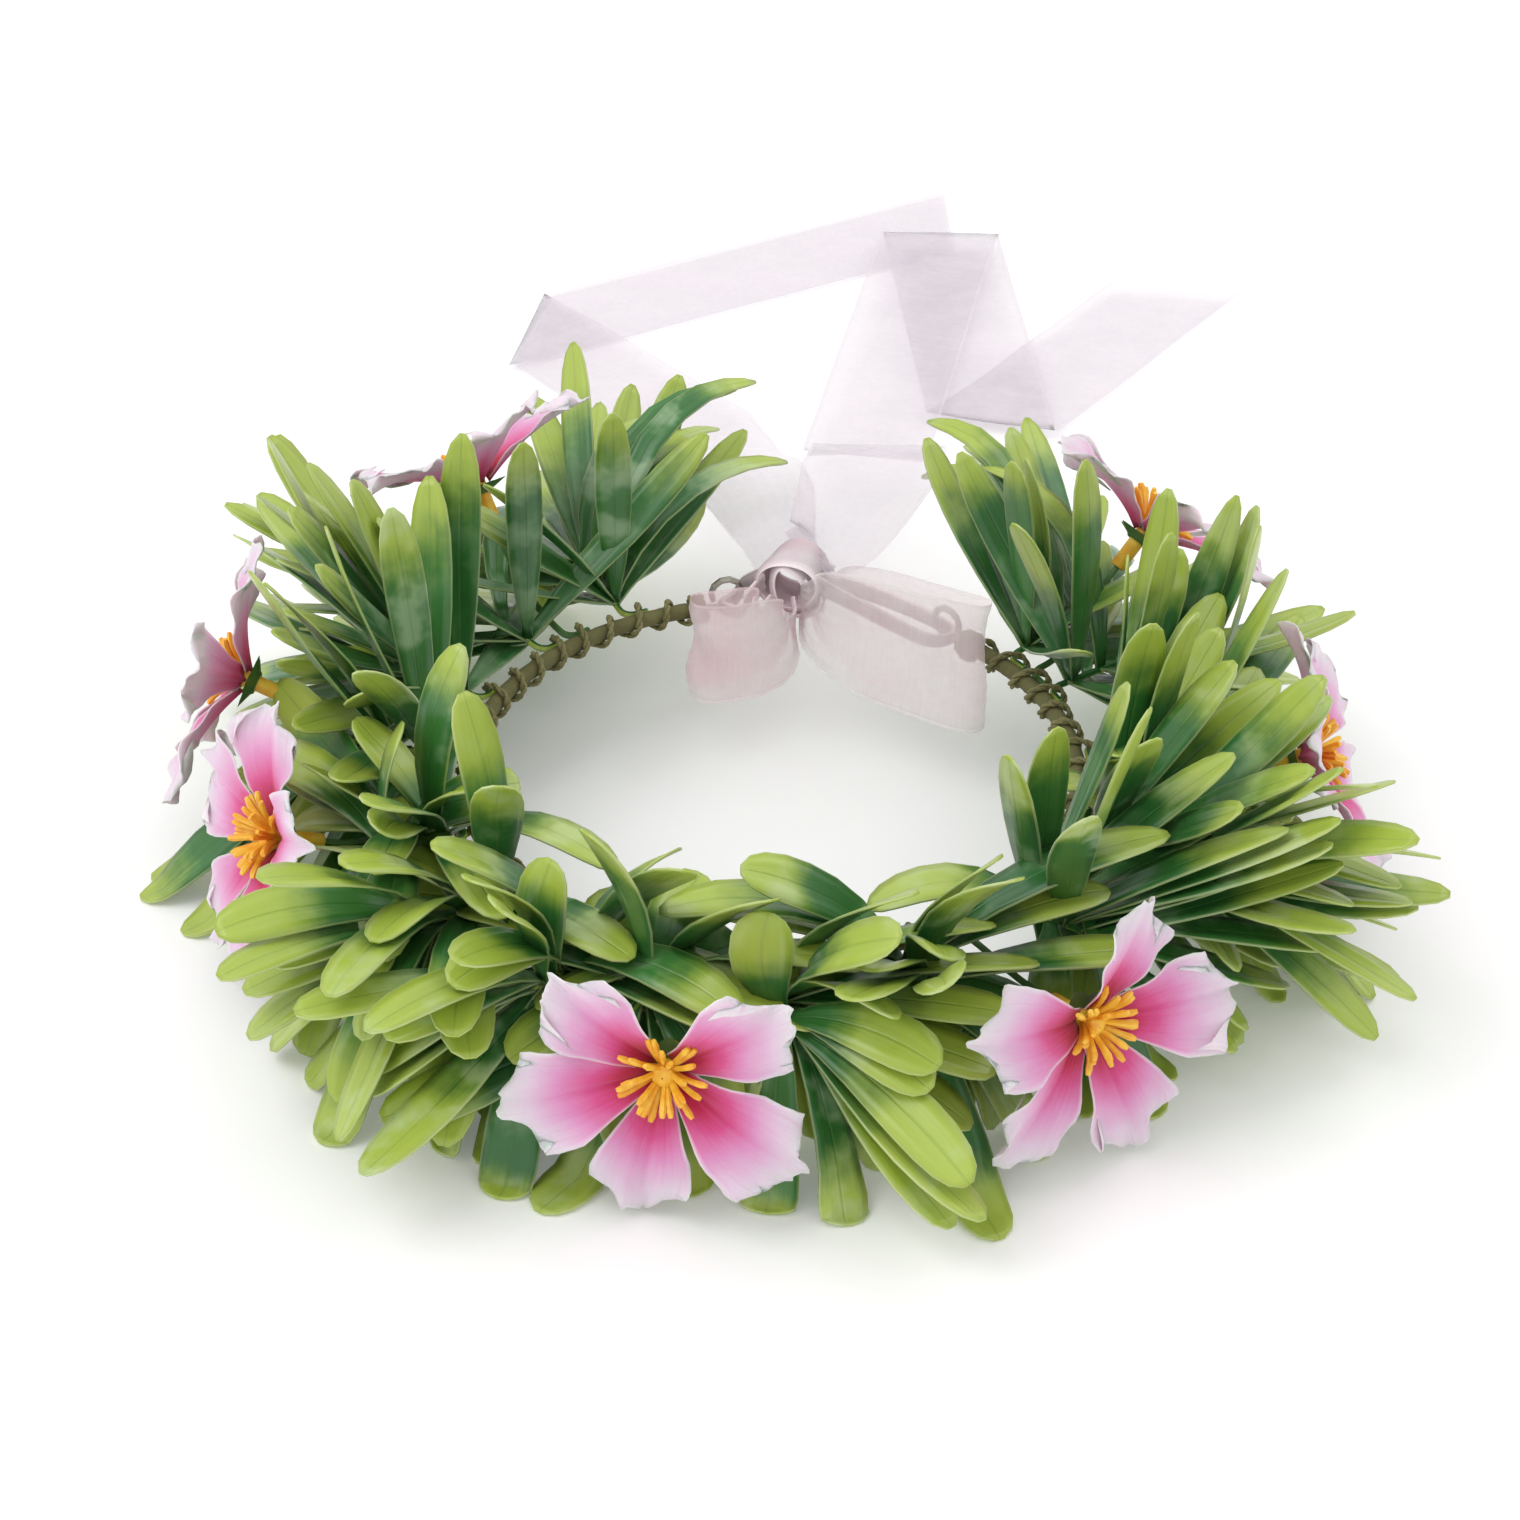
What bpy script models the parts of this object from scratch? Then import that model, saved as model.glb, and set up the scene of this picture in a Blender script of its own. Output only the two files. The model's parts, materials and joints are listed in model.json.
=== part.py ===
"""Flower crown: an open wire hoop bound with twine, sixteen moulded leaf sprigs, seven push-on
blossoms and an organza ribbon tied in a bow across the hoop's gap.

Units are metres and +Z is up. The origin is the centre of the head opening, on the table that the
crown lies on. The gap is at +Y, the front of the crown at -Y. A place on the hoop is given by its
ring angle: 0 at the front, positive towards +X, so that the gap lies round 180 degrees.
"""

import math

import bmesh
import bpy
from mathutils import Vector
from mathutils.bvhtree import BVHTree

# Hoop: a steel wire in a paper sleeve, with an eye bent in each end.
HOOP_RADIUS = 0.078
HOOP_HEIGHT = 0.036
GAP_HALF_ANGLE = 27.0
WIRE_DIAMETER = 0.0018
SLEEVE_DIAMETER = 0.0052
SLEEVE_BORE = 0.0026
EYE_RADIUS = 0.0042
EYE_SWEEP = 300.0
EYE_NECK = 0.0056
EYE_STEPS = 9
HOOP_POINTS = 40

# Twine: one spiral round the hoop and the feet of the stems that it binds.
TWINE_DIAMETER = 0.0012
TWINE_TURNS = 48
POINTS_PER_TURN = 6

# Stems: each has a foot along the outside of the hoop, then turns outwards between two turns.
STEM_DIAMETER = 0.0019
FOOT_TURNS = 0.75
STEM_BEND_RADIUS = 0.0032

# The gap between pieces that touch in the real crown.
FIT_GAP = 0.0003

# Leaf sprigs, by the twine turn that each stem leaves the hoop at.
SPRIG_TURNS = (2.5, 5.5, 8.5, 11.5, 15.5, 18.5, 21.5, 23.5, 26.5, 29.5, 33.5, 36.5, 38.5, 41.5, 44.5, 46.5)
SPRIG_STEM_LENGTH = 0.027
SPRIG_STEM_RISE = 8.0
SPRIG_SIDES = 6
WHORL_PLACES = (0.004, 0.012, 0.021)
WHORL_LENGTH = 0.0026
LEAF_WIDTH_SHARE = 0.22
LEAF_THICKNESS = 0.0011
LEAF_CLEARANCE = 0.0007
LEAF_PROFILE = ((0.06, 0.22), (0.3, 0.62), (0.6, 1.0), (0.85, 0.86), (1.0, 0.3))

# Blossoms: five fabric petals and a calyx on a moulded stamen peg, pushed on the stem's tip.
PETAL_REACH = 0.038
PETAL_COUNT = 5
PETAL_THICKNESS = 0.0007
PETAL_WAIST_RADIUS = 0.007
PETAL_WAIST_RISE = 0.0015
PETAL_CUP = 0.009
PETAL_HOLE_GAP = 0.0007
PETAL_ROOT_ANGLE = 22.0
PETAL_CREASE = 0.0015
# Rows of a petal: reach, half width and rise as shares, and how far its corners tuck back.
PETAL_ROWS = ((0.42, 0.34, 0.45, 0.0), (0.74, 0.42, 0.85, 0.0), (1.0, 0.22, 1.0, 0.05))
PEG_DIAMETER = 0.0042
PEG_LENGTH = 0.011
SOCKET_DEPTH = 0.007
STAMEN_RADIUS = 0.0095
STAMEN_HEIGHT = 0.0105
CALYX_RADIUS = 0.0055
CALYX_DEPTH = 0.0026
TURNED_STEPS = 9

# Ribbon: sheer organza, threaded through both eyes and tied. Its knot lies just outside the hoop's
# circle, given by its ring angle, and by its distance out from the hoop and up from it.
RIBBON_WIDTH = 0.038
RIBBON_THICKNESS = 0.0006
RIBBON_LAYER = 0.0022
RIBBON_FOLD = 0.006
STRAND_DIAMETER = 0.0028
STRAND_SPREAD = 0.004
KNOT_ANGLE = -170.7
KNOT_OUT = 0.002
KNOT_UP = 0.008
KNOT_SIZE = Vector((0.018, 0.014, 0.016))

# Plans of the two standing loops of the bow, as ring angles and distances in from the hoop, and
# the height of each loop's lower edge below the hoop.
RIGHT_LOOP = (
    (-174.9, 0.0107),
    (172.4, 0.0175),
    (154.3, 0.0181),
    (142.2, 0.0128),
    (140.5, 0.0080),
    (143.9, 0.0068),
    (155.3, 0.0109),
    (169.7, 0.0109),
    (180.0, 0.0070),
)
LEFT_LOOP = (
    (-170.5, 0.0111),
    (-163.7, 0.0176),
    (-152.6, 0.0194),
    (-147.1, 0.0155),
    (-147.7, 0.0106),
    (-152.9, 0.0100),
    (-159.3, 0.0101),
    (-165.2, 0.0077),
)
RIGHT_LOOP_DROP = 0.015
LEFT_LOOP_DROP = 0.018
LEFT_LOOP_WIDTH = 0.030

# Tails: points down from the knot to the table, as offsets from the knot in plan, a height and a
# half width, then the compass heading and the length of each run between folds.
LEFT_DROP = (
    (-0.007, 0.010, 0.046, 0.005),
    (-0.018, 0.031, 0.048, 0.011),
    (-0.033, 0.066, 0.036, 0.016),
    (-0.048, 0.104, 0.014, 0.019),
    (-0.061, 0.135, 0.003, 0.019),
)
LEFT_RUNS = ((234.0, 0.090), (133.0, 0.168))
RIGHT_DROP = (
    (0.009, 0.010, 0.052, 0.006),
    (0.013, 0.031, 0.060, 0.012),
    (0.009, 0.063, 0.050, 0.016),
    (0.001, 0.097, 0.028, 0.019),
    (-0.009, 0.127, 0.007, 0.019),
)
RIGHT_RUNS = ((183.0, 0.150), (19.0, 0.122), (158.0, 0.119))

# Each blossom: the twine turn its stem leaves at, its ring angle, its distance out from the hoop
# and up from it, the way that it faces, as a compass angle like a ring angle and a lift above the
# horizon, and how far it is turned on its stem.
BLOSSOMS = (
    ("front", 24.5, 2.5, 0.045, 0.000, 6.0, 14.0, 18.0),
    ("front_right", 31.5, 49.0, 0.048, 0.000, 52.0, 8.0, 10.0),
    ("right", 40.5, 104.0, 0.056, 0.004, 105.0, 18.0, 40.0),
    ("back_right", 45.5, 139.0, 0.042, 0.028, 140.0, 42.0, 0.0),
    ("back_left", 4.5, -125.0, 0.042, 0.030, -128.0, 52.0, 25.0),
    ("far_left", 10.5, -87.0, 0.060, 0.010, -89.0, 20.0, 12.0),
    ("left", 14.5, -60.0, 0.048, 0.004, -54.0, 22.0, 33.0),
)

# The leaves of a sprig: whorl, heading from outwards (positive away from the hoop's gap), lift,
# change of lift and of heading from base to tip in degrees, and length.
FRONT_LEAVES = (
    (0, 74.0, 44.0, -48.0, 22.0, 0.056),
    (0, -80.0, 40.0, -44.0, -20.0, 0.054),
    (0, 112.0, 58.0, -75.0, 12.0, 0.046),
    (1, 48.0, 12.0, -20.0, 10.0, 0.052),
    (1, -50.0, 18.0, -25.0, -10.0, 0.052),
    (1, 12.0, 55.0, -60.0, 0.0, 0.046),
    (2, 12.0, -20.0, -45.0, 0.0, 0.058),
    (2, -16.0, 30.0, -50.0, 0.0, 0.052),
)
SIDE_LEAVES = (
    (0, 55.0, 52.0, -34.0, -10.0, 0.056),
    (0, -62.0, 46.0, -34.0, 10.0, 0.056),
    (0, 108.0, 66.0, -60.0, 0.0, 0.042),
    (1, 36.0, 20.0, -5.0, -12.0, 0.064),
    (1, -40.0, 26.0, -10.0, 12.0, 0.064),
    (1, 4.0, 58.0, -40.0, 0.0, 0.056),
    (2, 8.0, -16.0, -40.0, 0.0, 0.062),
    (2, -6.0, 32.0, -40.0, 0.0, 0.066),
)
BACK_LEAVES = (
    (0, 42.0, 70.0, -30.0, -25.0, 0.070),
    (0, -45.0, 64.0, -34.0, -20.0, 0.068),
    (0, 120.0, 80.0, -50.0, 0.0, 0.046),
    (1, 32.0, 30.0, 8.0, 0.0, 0.064),
    (1, -36.0, 26.0, 12.0, 0.0, 0.064),
    (1, 0.0, 66.0, -30.0, 15.0, 0.070),
    (2, 6.0, -20.0, -35.0, 0.0, 0.060),
    (2, -8.0, 46.0, -25.0, 0.0, 0.066),
)
END_LEAVES = (
    (0, -40.0, 78.0, -50.0, -45.0, 0.076),
    (0, -72.0, 56.0, -50.0, -25.0, 0.066),
    (0, 58.0, 74.0, -28.0, 10.0, 0.066),
    (1, -22.0, 62.0, -45.0, -35.0, 0.074),
    (1, 36.0, 26.0, 5.0, 0.0, 0.062),
    (1, -58.0, 12.0, -8.0, 8.0, 0.054),
    (2, 6.0, 58.0, -22.0, 0.0, 0.064),
    (2, 0.0, -20.0, -35.0, 0.0, 0.058),
)

UP = Vector((0.0, 0.0, 1.0))

COLOURS = {
    "wire": ((0.45, 0.44, 0.40), 0.35, 1.0),
    "paper": ((0.20, 0.22, 0.09), 0.85, 0.0),
    "twine": ((0.26, 0.26, 0.11), 0.85, 0.0),
    "leaf": ((0.12, 0.36, 0.07), 0.38, 0.0),
    "petal": ((0.85, 0.42, 0.60), 0.75, 0.0),
    "stamen": ((0.93, 0.55, 0.07), 0.45, 0.0),
    "calyx": ((0.10, 0.28, 0.08), 0.50, 0.0),
    "stem": ((0.16, 0.30, 0.12), 0.50, 0.0),
    "organza": ((0.93, 0.80, 0.85), 0.45, 0.0),
}


# ---------------------------------------------------------------- scene and small helpers


def clear_scene():
    for old in list(bpy.data.objects):
        bpy.data.objects.remove(old)


def new_collection(name):
    made = bpy.data.collections.new(name)
    bpy.context.scene.collection.children.link(made)
    return made


def material(name):
    found = bpy.data.materials.get(name)
    if found:
        return found
    colour, roughness, metallic = COLOURS[name]
    made = bpy.data.materials.new(name)
    made.use_nodes = True
    shader = made.node_tree.nodes["Principled BSDF"]
    shader.inputs["Base Color"].default_value = (*colour, 1.0)
    shader.inputs["Roughness"].default_value = roughness
    shader.inputs["Metallic"].default_value = metallic
    return made


def add_object(name, data, finish, parent=None):
    data.materials.append(material(finish))
    made = bpy.data.objects.new(name, data)
    CROWN.objects.link(made)
    made.parent = parent
    return made


def mesh_from(name, bm):
    mesh = bpy.data.meshes.new(name)
    bm.to_mesh(mesh)
    bm.free()
    return mesh


def smooth_mesh_from(name, bm):
    mesh = mesh_from(name, bm)
    mesh.shade_smooth()
    mesh.set_sharp_from_angle(angle=math.radians(50.0))
    return mesh


def outwards(angle):
    """Unit vector from the crown's axis towards a ring angle, in degrees."""
    turn = math.radians(angle)
    return Vector((math.sin(turn), -math.cos(turn), 0.0))


def onwards(angle):
    """Unit vector along the hoop at a ring angle, towards larger angles."""
    turn = math.radians(angle)
    return Vector((math.cos(turn), math.sin(turn), 0.0))


def ring_point(angle, radius, height):
    return outwards(angle) * radius + UP * height


def heading(angle, lift):
    """Unit vector for a compass angle, as a ring angle, and a lift above the horizon."""
    rise = math.radians(lift)
    return outwards(angle) * math.cos(rise) + UP * math.sin(rise)


def tube(name, points, diameter, finish, resolution=1):
    """A round bar along points, as a curve object with filled caps."""
    curve = bpy.data.curves.new(name, "CURVE")
    curve.dimensions = "3D"
    curve.bevel_depth = diameter / 2
    curve.bevel_resolution = resolution
    curve.use_fill_caps = True
    spline = curve.splines.new("POLY")
    spline.points.add(len(points) - 1)
    for target, point in zip(spline.points, points):
        target.co = (*point, 1.0)
    return add_object(name, curve, finish)


# ---------------------------------------------------------------- hoop

HOOP_HALF_SWEEP = 180.0 - GAP_HALF_ANGLE
TURN_ANGLE = 2 * HOOP_HALF_SWEEP / TWINE_TURNS


def turn_angle(turns):
    """Ring angle after that many turns of the twine from the hoop's left end."""
    return -HOOP_HALF_SWEEP + turns * TURN_ANGLE


def hoop_arc():
    points = []
    for step in range(HOOP_POINTS + 1):
        angle = -HOOP_HALF_SWEEP + 2 * HOOP_HALF_SWEEP * step / HOOP_POINTS
        points.append(ring_point(angle, HOOP_RADIUS, HOOP_HEIGHT))
    return points


def hoop_wire():
    """The core wire: the arc of the hoop, then an upright eye beyond each end of the sleeve."""
    last = eye_points(HOOP_HALF_SWEEP, 1.0)
    first = eye_points(-HOOP_HALF_SWEEP, -1.0)
    return tube("hoop_wire", first[::-1] + hoop_arc() + last, WIRE_DIAMETER, "wire")


def eye_centre(end_angle, way):
    """Centre of an eye; way is 1 at the right end of the hoop and -1 at the left."""
    end = ring_point(end_angle, HOOP_RADIUS, HOOP_HEIGHT)
    return end + onwards(end_angle) * way * EYE_NECK + UP * EYE_RADIUS


def eye_points(end_angle, way):
    centre = eye_centre(end_angle, way)
    ahead = onwards(end_angle) * way
    points = []
    for step in range(EYE_STEPS + 1):
        turn = math.radians(EYE_SWEEP * step / EYE_STEPS)
        points.append(centre + (ahead * math.sin(turn) - UP * math.cos(turn)) * EYE_RADIUS)
    return points


def hoop_sleeve():
    """The paper sleeve: an open tube along the hoop, thickened inwards to its bore."""
    sleeve = tube("hoop_sleeve", hoop_arc(), SLEEVE_DIAMETER, "paper")
    sleeve.data.use_fill_caps = False
    wall = sleeve.modifiers.new("Wall", "SOLIDIFY")
    wall.thickness = (SLEEVE_DIAMETER - SLEEVE_BORE) / 2
    wall.offset = -1.0
    return sleeve


# The bound bundle is the sleeve and the foot of a stem outside it, so a turn of the twine is an
# oval, further out on the foot's side.
FOOT_RADIUS = HOOP_RADIUS + SLEEVE_DIAMETER / 2 + FIT_GAP + STEM_DIAMETER / 2
OVAL_OUTER = SLEEVE_DIAMETER / 2 + 3 * FIT_GAP + STEM_DIAMETER + TWINE_DIAMETER / 2
OVAL_INNER = SLEEVE_DIAMETER / 2 + 2 * FIT_GAP + TWINE_DIAMETER / 2


def binding_twine():
    """The oval spiral, from half a turn inside one end of the hoop to half a turn from the other.

    Its points are on a polygon, whose flats come nearer to the bundle than its corners, so the
    oval is grown to keep the flats clear.
    """
    corner = 1.0 / math.cos(math.pi / POINTS_PER_TURN)
    offset = (OVAL_OUTER - OVAL_INNER) / 2
    across = (OVAL_OUTER + OVAL_INNER) / 2 * corner
    upright = OVAL_INNER * corner
    points = []
    for step in range(POINTS_PER_TURN // 2, TWINE_TURNS * POINTS_PER_TURN - POINTS_PER_TURN // 2 + 1):
        turns = step / POINTS_PER_TURN
        phase = 2 * math.pi * turns
        angle = turn_angle(turns)
        radius = HOOP_RADIUS + offset + across * math.cos(phase)
        points.append(ring_point(angle, radius, HOOP_HEIGHT + upright * math.sin(phase)))
    return tube("binding_twine", points, TWINE_DIAMETER, "twine", resolution=0)


def stem_route(turns, rise):
    """Points of a stem's foot and of its bend outwards, ending where it heads out with rise."""
    angle = turn_angle(turns)
    start = turn_angle(turns - FOOT_TURNS)
    points = []
    foot_steps = 3
    bend_turn = math.degrees(STEM_BEND_RADIUS / FOOT_RADIUS)
    for step in range(foot_steps + 1):
        at = start + (angle - bend_turn - start) * step / foot_steps
        points.append(ring_point(at, FOOT_RADIUS, HOOP_HEIGHT))
    end = angle - bend_turn
    out = heading(end, rise)
    for step in (1, 2, 3):
        turn = math.radians(90.0 * step / 3)
        along = onwards(end) * math.sin(turn) + out * (1 - math.cos(turn))
        points.append(ring_point(end, FOOT_RADIUS, HOOP_HEIGHT) + along * STEM_BEND_RADIUS)
    return points, out


# ---------------------------------------------------------------- extruded sprigs


def section(point, way, side, half_width, half_thickness):
    """Four corners of a leaf's cross-section, anticlockwise about its way."""
    normal = way.cross(side).normalized()
    return [
        point + side * half_width - normal * half_thickness,
        point + side * half_width + normal * half_thickness,
        point - side * half_width + normal * half_thickness,
        point - side * half_width - normal * half_thickness,
    ]


def ring_section(point, way, side, radius, count):
    """Corners of a stem's cross-section, anticlockwise about its way."""
    normal = way.cross(side).normalized()
    corners = []
    for step in range(count):
        turn = 2 * math.pi * step / count
        corners.append(point + (side * math.cos(turn) + normal * math.sin(turn)) * radius)
    return corners


def extrude_to(bm, face, corners):
    """Extrudes a face, moves its corners to the ones given, and returns the new face and its sides."""
    made = bmesh.ops.extrude_discrete_faces(bm, faces=[face])["faces"][0]
    verts = [loop.vert for loop in made.loops]
    count = len(verts)

    def travel(shift):
        return sum((verts[(i + shift) % count].co - corners[i]).length for i in range(count))

    shift = min(range(count), key=travel)
    for i in range(count):
        verts[(i + shift) % count].co = corners[i]
    sides = [f for edge in made.edges for f in edge.link_faces if f != made]
    return made, sides


def leaf_path(base, angle, leaf):
    """Points and ways along a leaf from its base. A leaf that reaches the table lies on it."""
    _, yaw, lift, lift_change, yaw_change, length = leaf
    lowest = LEAF_THICKNESS / 2
    fine = 20
    points = [base.copy()]
    for step in range(fine):
        share = (step + 0.5) / fine
        way = heading(angle + yaw + yaw_change * share, lift + lift_change * share)
        point = points[-1] + way * (length / fine)
        point.z = max(point.z, lowest)
        points.append(point)
    places = []
    for share, width in LEAF_PROFILE:
        index = min(fine, max(1, round(share * fine)))
        way = (points[min(fine, index + 1)] - points[index - 1]).normalized()
        if points[index].z < lowest * 1.001:
            way = Vector((way.x, way.y, 0.0)).normalized()
        side = UP.cross(way)
        side = side.normalized() if side.length > 1e-4 else onwards(angle)
        places.append((points[index], way, side, width))
    return places


def leaf_sections(places, length, extra=0.0):
    half_width = length * LEAF_WIDTH_SHARE / 2
    half_thickness = LEAF_THICKNESS / 2
    made = []
    for point, way, side, share in places:
        corners = section(point, way, side, half_width * share + extra, half_thickness + extra)
        for corner in corners:
            corner.z = max(corner.z, 0.0)
        made.append(corners)
    return made


def hull_of(sections):
    """A closed skin round sections, as points and faces, to test a leaf's room."""
    points = [corner for ring in sections for corner in ring]
    count = len(sections[0])
    faces = [tuple(range(count))[::-1]]
    for ring in range(len(sections) - 1):
        low = ring * count
        for i in range(count):
            j = (i + 1) % count
            faces.append((low + i, low + j, low + count + j, low + count + i))
    faces.append(tuple(range(len(points) - count, len(points))))
    return points, faces


# Turns tried for a leaf that would touch its neighbours, the smallest first.
LEAF_TURNS = sorted(
    ((yaw, lift) for yaw in range(-60, 61, 10) for lift in range(-50, 51, 10)),
    key=lambda turn: (abs(turn[0]) + abs(turn[1]) * 1.2, turn),
)


def placed_leaf(base, angle, leaf, obstacles, own):
    """The leaf, turned as little as it needs to stay clear of what is there, or None."""
    whorl, yaw, lift, lift_change, yaw_change, length = leaf
    for more_yaw, more_lift in LEAF_TURNS:
        turned = (whorl, yaw + more_yaw, lift + more_lift, lift_change, yaw_change, length)
        places = leaf_path(base, angle, turned)
        grown = leaf_sections(places, length, LEAF_CLEARANCE)
        whole = BVHTree.FromPolygons(*hull_of(grown))
        blade = BVHTree.FromPolygons(*hull_of(grown[1:]))
        touches = any(whole.overlap(other) for other in obstacles)
        if not touches and not any(blade.overlap(other) for other in own):
            return leaf_sections(places, length), blade
    return None


def leaf_sprig(number, turns, leaves, obstacles):
    """One moulded sprig: a stem with a foot, and leaves extruded from its sides. Returns its room."""
    route, out = stem_route(turns, SPRIG_STEM_RISE)
    angle = turn_angle(turns)
    bend_end = route[-1]
    stations = [0.0]
    for place in WHORL_PLACES:
        stations += [place, place + WHORL_LENGTH]
    stations.append(SPRIG_STEM_LENGTH)
    radius = STEM_DIAMETER / 2
    bm = bmesh.new()
    way = (route[1] - route[0]).normalized()
    side = UP.cross(way).normalized()
    corners = ring_section(route[0], way, side, radius, SPRIG_SIDES)
    foot = [bm.verts.new(corner) for corner in corners]
    cap = bm.faces.new(foot)
    whorls = []
    for index in range(1, len(route)):
        ahead = route[min(index + 1, len(route) - 1)] - route[index - 1]
        way = ahead.normalized() if index < len(route) - 1 else out
        side = UP.cross(way).normalized()
        cap, _ = extrude_to(bm, cap, ring_section(route[index], way, side, radius, SPRIG_SIDES))
    side = UP.cross(out).normalized()
    for index, reach in enumerate(stations[1:]):
        centre = bend_end + out * reach
        cap, sides = extrude_to(bm, cap, ring_section(centre, out, side, radius, SPRIG_SIDES))
        if index % 2 == 1:
            whorls.append(sides)
    bm.faces.new(foot[::-1])
    own = []
    for leaf in leaves:
        lateral = heading(angle + leaf[1], leaf[2])
        lateral = lateral - out * lateral.dot(out)
        free = whorls[leaf[0]]
        for face in free:
            face.normal_update()
        root = max(free, key=lambda face: face.normal.dot(lateral))
        base = root.calc_center_median()
        found = placed_leaf(base, angle, leaf, obstacles, own)
        if found is None:
            continue
        free.remove(root)
        sections, blade = found
        tip = root
        for corners in sections:
            tip, _ = extrude_to(bm, tip, corners)
        own.append(blade)
    bmesh.ops.recalc_face_normals(bm, faces=bm.faces)
    taken = BVHTree.FromBMesh(bm)
    name = f"leaf_sprig_{number:02d}"
    add_object(name, smooth_mesh_from(name, bm), "leaf")
    return taken


def stem_room(turns):
    """The room that a sprig's stem takes, which other sprigs' leaves stay out of."""
    route, out = stem_route(turns, SPRIG_STEM_RISE)
    route.append(route[-1] + out * SPRIG_STEM_LENGTH)
    rings = []
    for point, after in zip(route[3:], route[4:] + [route[-1] + out]):
        way = (after - point).normalized()
        side = UP.cross(way).normalized()
        rings.append(ring_section(point, way, side, STEM_DIAMETER / 2 + LEAF_CLEARANCE, SPRIG_SIDES))
    return BVHTree.FromPolygons(*hull_of(rings))


# ---------------------------------------------------------------- blossoms


def turned(name, profile, finish, parent):
    """A turned piece from its profile of (radius, height) pairs, as a Screw round Z."""
    bm = bmesh.new()
    verts = [bm.verts.new((radius, 0.0, height)) for radius, height in profile]
    for first, second in zip(verts, verts[1:]):
        bm.edges.new((first, second))
    if profile[0][0] > 0:
        bm.edges.new((verts[-1], verts[0]))
    made = add_object(name, mesh_from(name, bm), finish, parent)
    screw = made.modifiers.new("Turn", "SCREW")
    screw.steps = TURNED_STEPS
    screw.render_steps = TURNED_STEPS
    screw.use_merge_vertices = True
    screw.merge_threshold = 0.00005
    screw.use_smooth_shade = True
    return made


def petals_of(name, parent):
    """Five petals cut in one piece: an open sheet grown outwards from a ring, then thickened."""
    hole = PEG_DIAMETER / 2 + PETAL_HOLE_GAP
    pitch = 360.0 / PETAL_COUNT
    bm = bmesh.new()
    inner, waist = [], []
    for petal in range(PETAL_COUNT):
        for step in (-1, 0, 1):
            turn = math.radians(petal * pitch + step * PETAL_ROOT_ANGLE)
            way = Vector((math.cos(turn), math.sin(turn), 0.0))
            inner.append(bm.verts.new(way * hole))
            waist.append(bm.verts.new(way * PETAL_WAIST_RADIUS + UP * PETAL_WAIST_RISE))
    for i in range(len(inner)):
        j = (i + 1) % len(inner)
        bm.faces.new((inner[i], waist[i], waist[j], inner[j]))
    for petal in range(PETAL_COUNT):
        turn = math.radians(petal * pitch)
        way = Vector((math.cos(turn), math.sin(turn), 0.0))
        side = UP.cross(way)
        row = waist[petal * 3 : petal * 3 + 3]
        for reach, width, rise, tuck in PETAL_ROWS:
            edges = [bm.edges.get((row[0], row[1])), bm.edges.get((row[1], row[2]))]
            made = bmesh.ops.extrude_edge_only(bm, edges=edges)["geom"]
            row = [v for v in made if isinstance(v, bmesh.types.BMVert)]
            row.sort(key=lambda vert: vert.co.dot(side))
            for step, vert in zip((-1, 0, 1), row):
                out = way * PETAL_REACH * (reach - tuck * abs(step))
                across = side * step * width * PETAL_REACH
                dip = 0.0 if step else -PETAL_CREASE
                vert.co = out + across + UP * (PETAL_CUP * rise + dip)
    bmesh.ops.recalc_face_normals(bm, faces=bm.faces)
    if sum(face.normal.z for face in bm.faces) < 0:
        bmesh.ops.reverse_faces(bm, faces=bm.faces)
    made = add_object(name, smooth_mesh_from(name, bm), "petal", parent)
    solid = made.modifiers.new("Fabric", "SOLIDIFY")
    solid.thickness = PETAL_THICKNESS
    solid.offset = 1.0
    return made


def blossom_axes(blossom):
    """Centre of a blossom's head, the way that it faces, and the back end of its peg."""
    _, _, angle, out, up, compass, lift, _ = blossom
    over_table = PETAL_REACH * math.cos(math.radians(lift)) + FIT_GAP
    centre = ring_point(angle, HOOP_RADIUS + out, max(HOOP_HEIGHT + up, over_table))
    facing = heading(compass, lift)
    return centre, facing, centre - facing * PEG_LENGTH


def blossom_stem_route(blossom):
    """From its foot on the hoop, in one smooth sweep, to its tip in the peg's socket."""
    centre, facing, peg_end = blossom_axes(blossom)
    points, out = stem_route(blossom[1], SPRIG_STEM_RISE)
    start, end = points[-1], peg_end - facing * 0.003
    pull = (end - start).length * 0.4
    before, after = start + out * pull, end - facing * pull
    steps = 6
    for step in range(1, steps + 1):
        t = step / steps
        points.append(
            start * (1 - t) ** 3
            + before * 3 * t * (1 - t) ** 2
            + after * 3 * t * t * (1 - t)
            + end * t**3
        )
    points.append(peg_end + facing * (SOCKET_DEPTH - 0.001))
    return points


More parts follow.
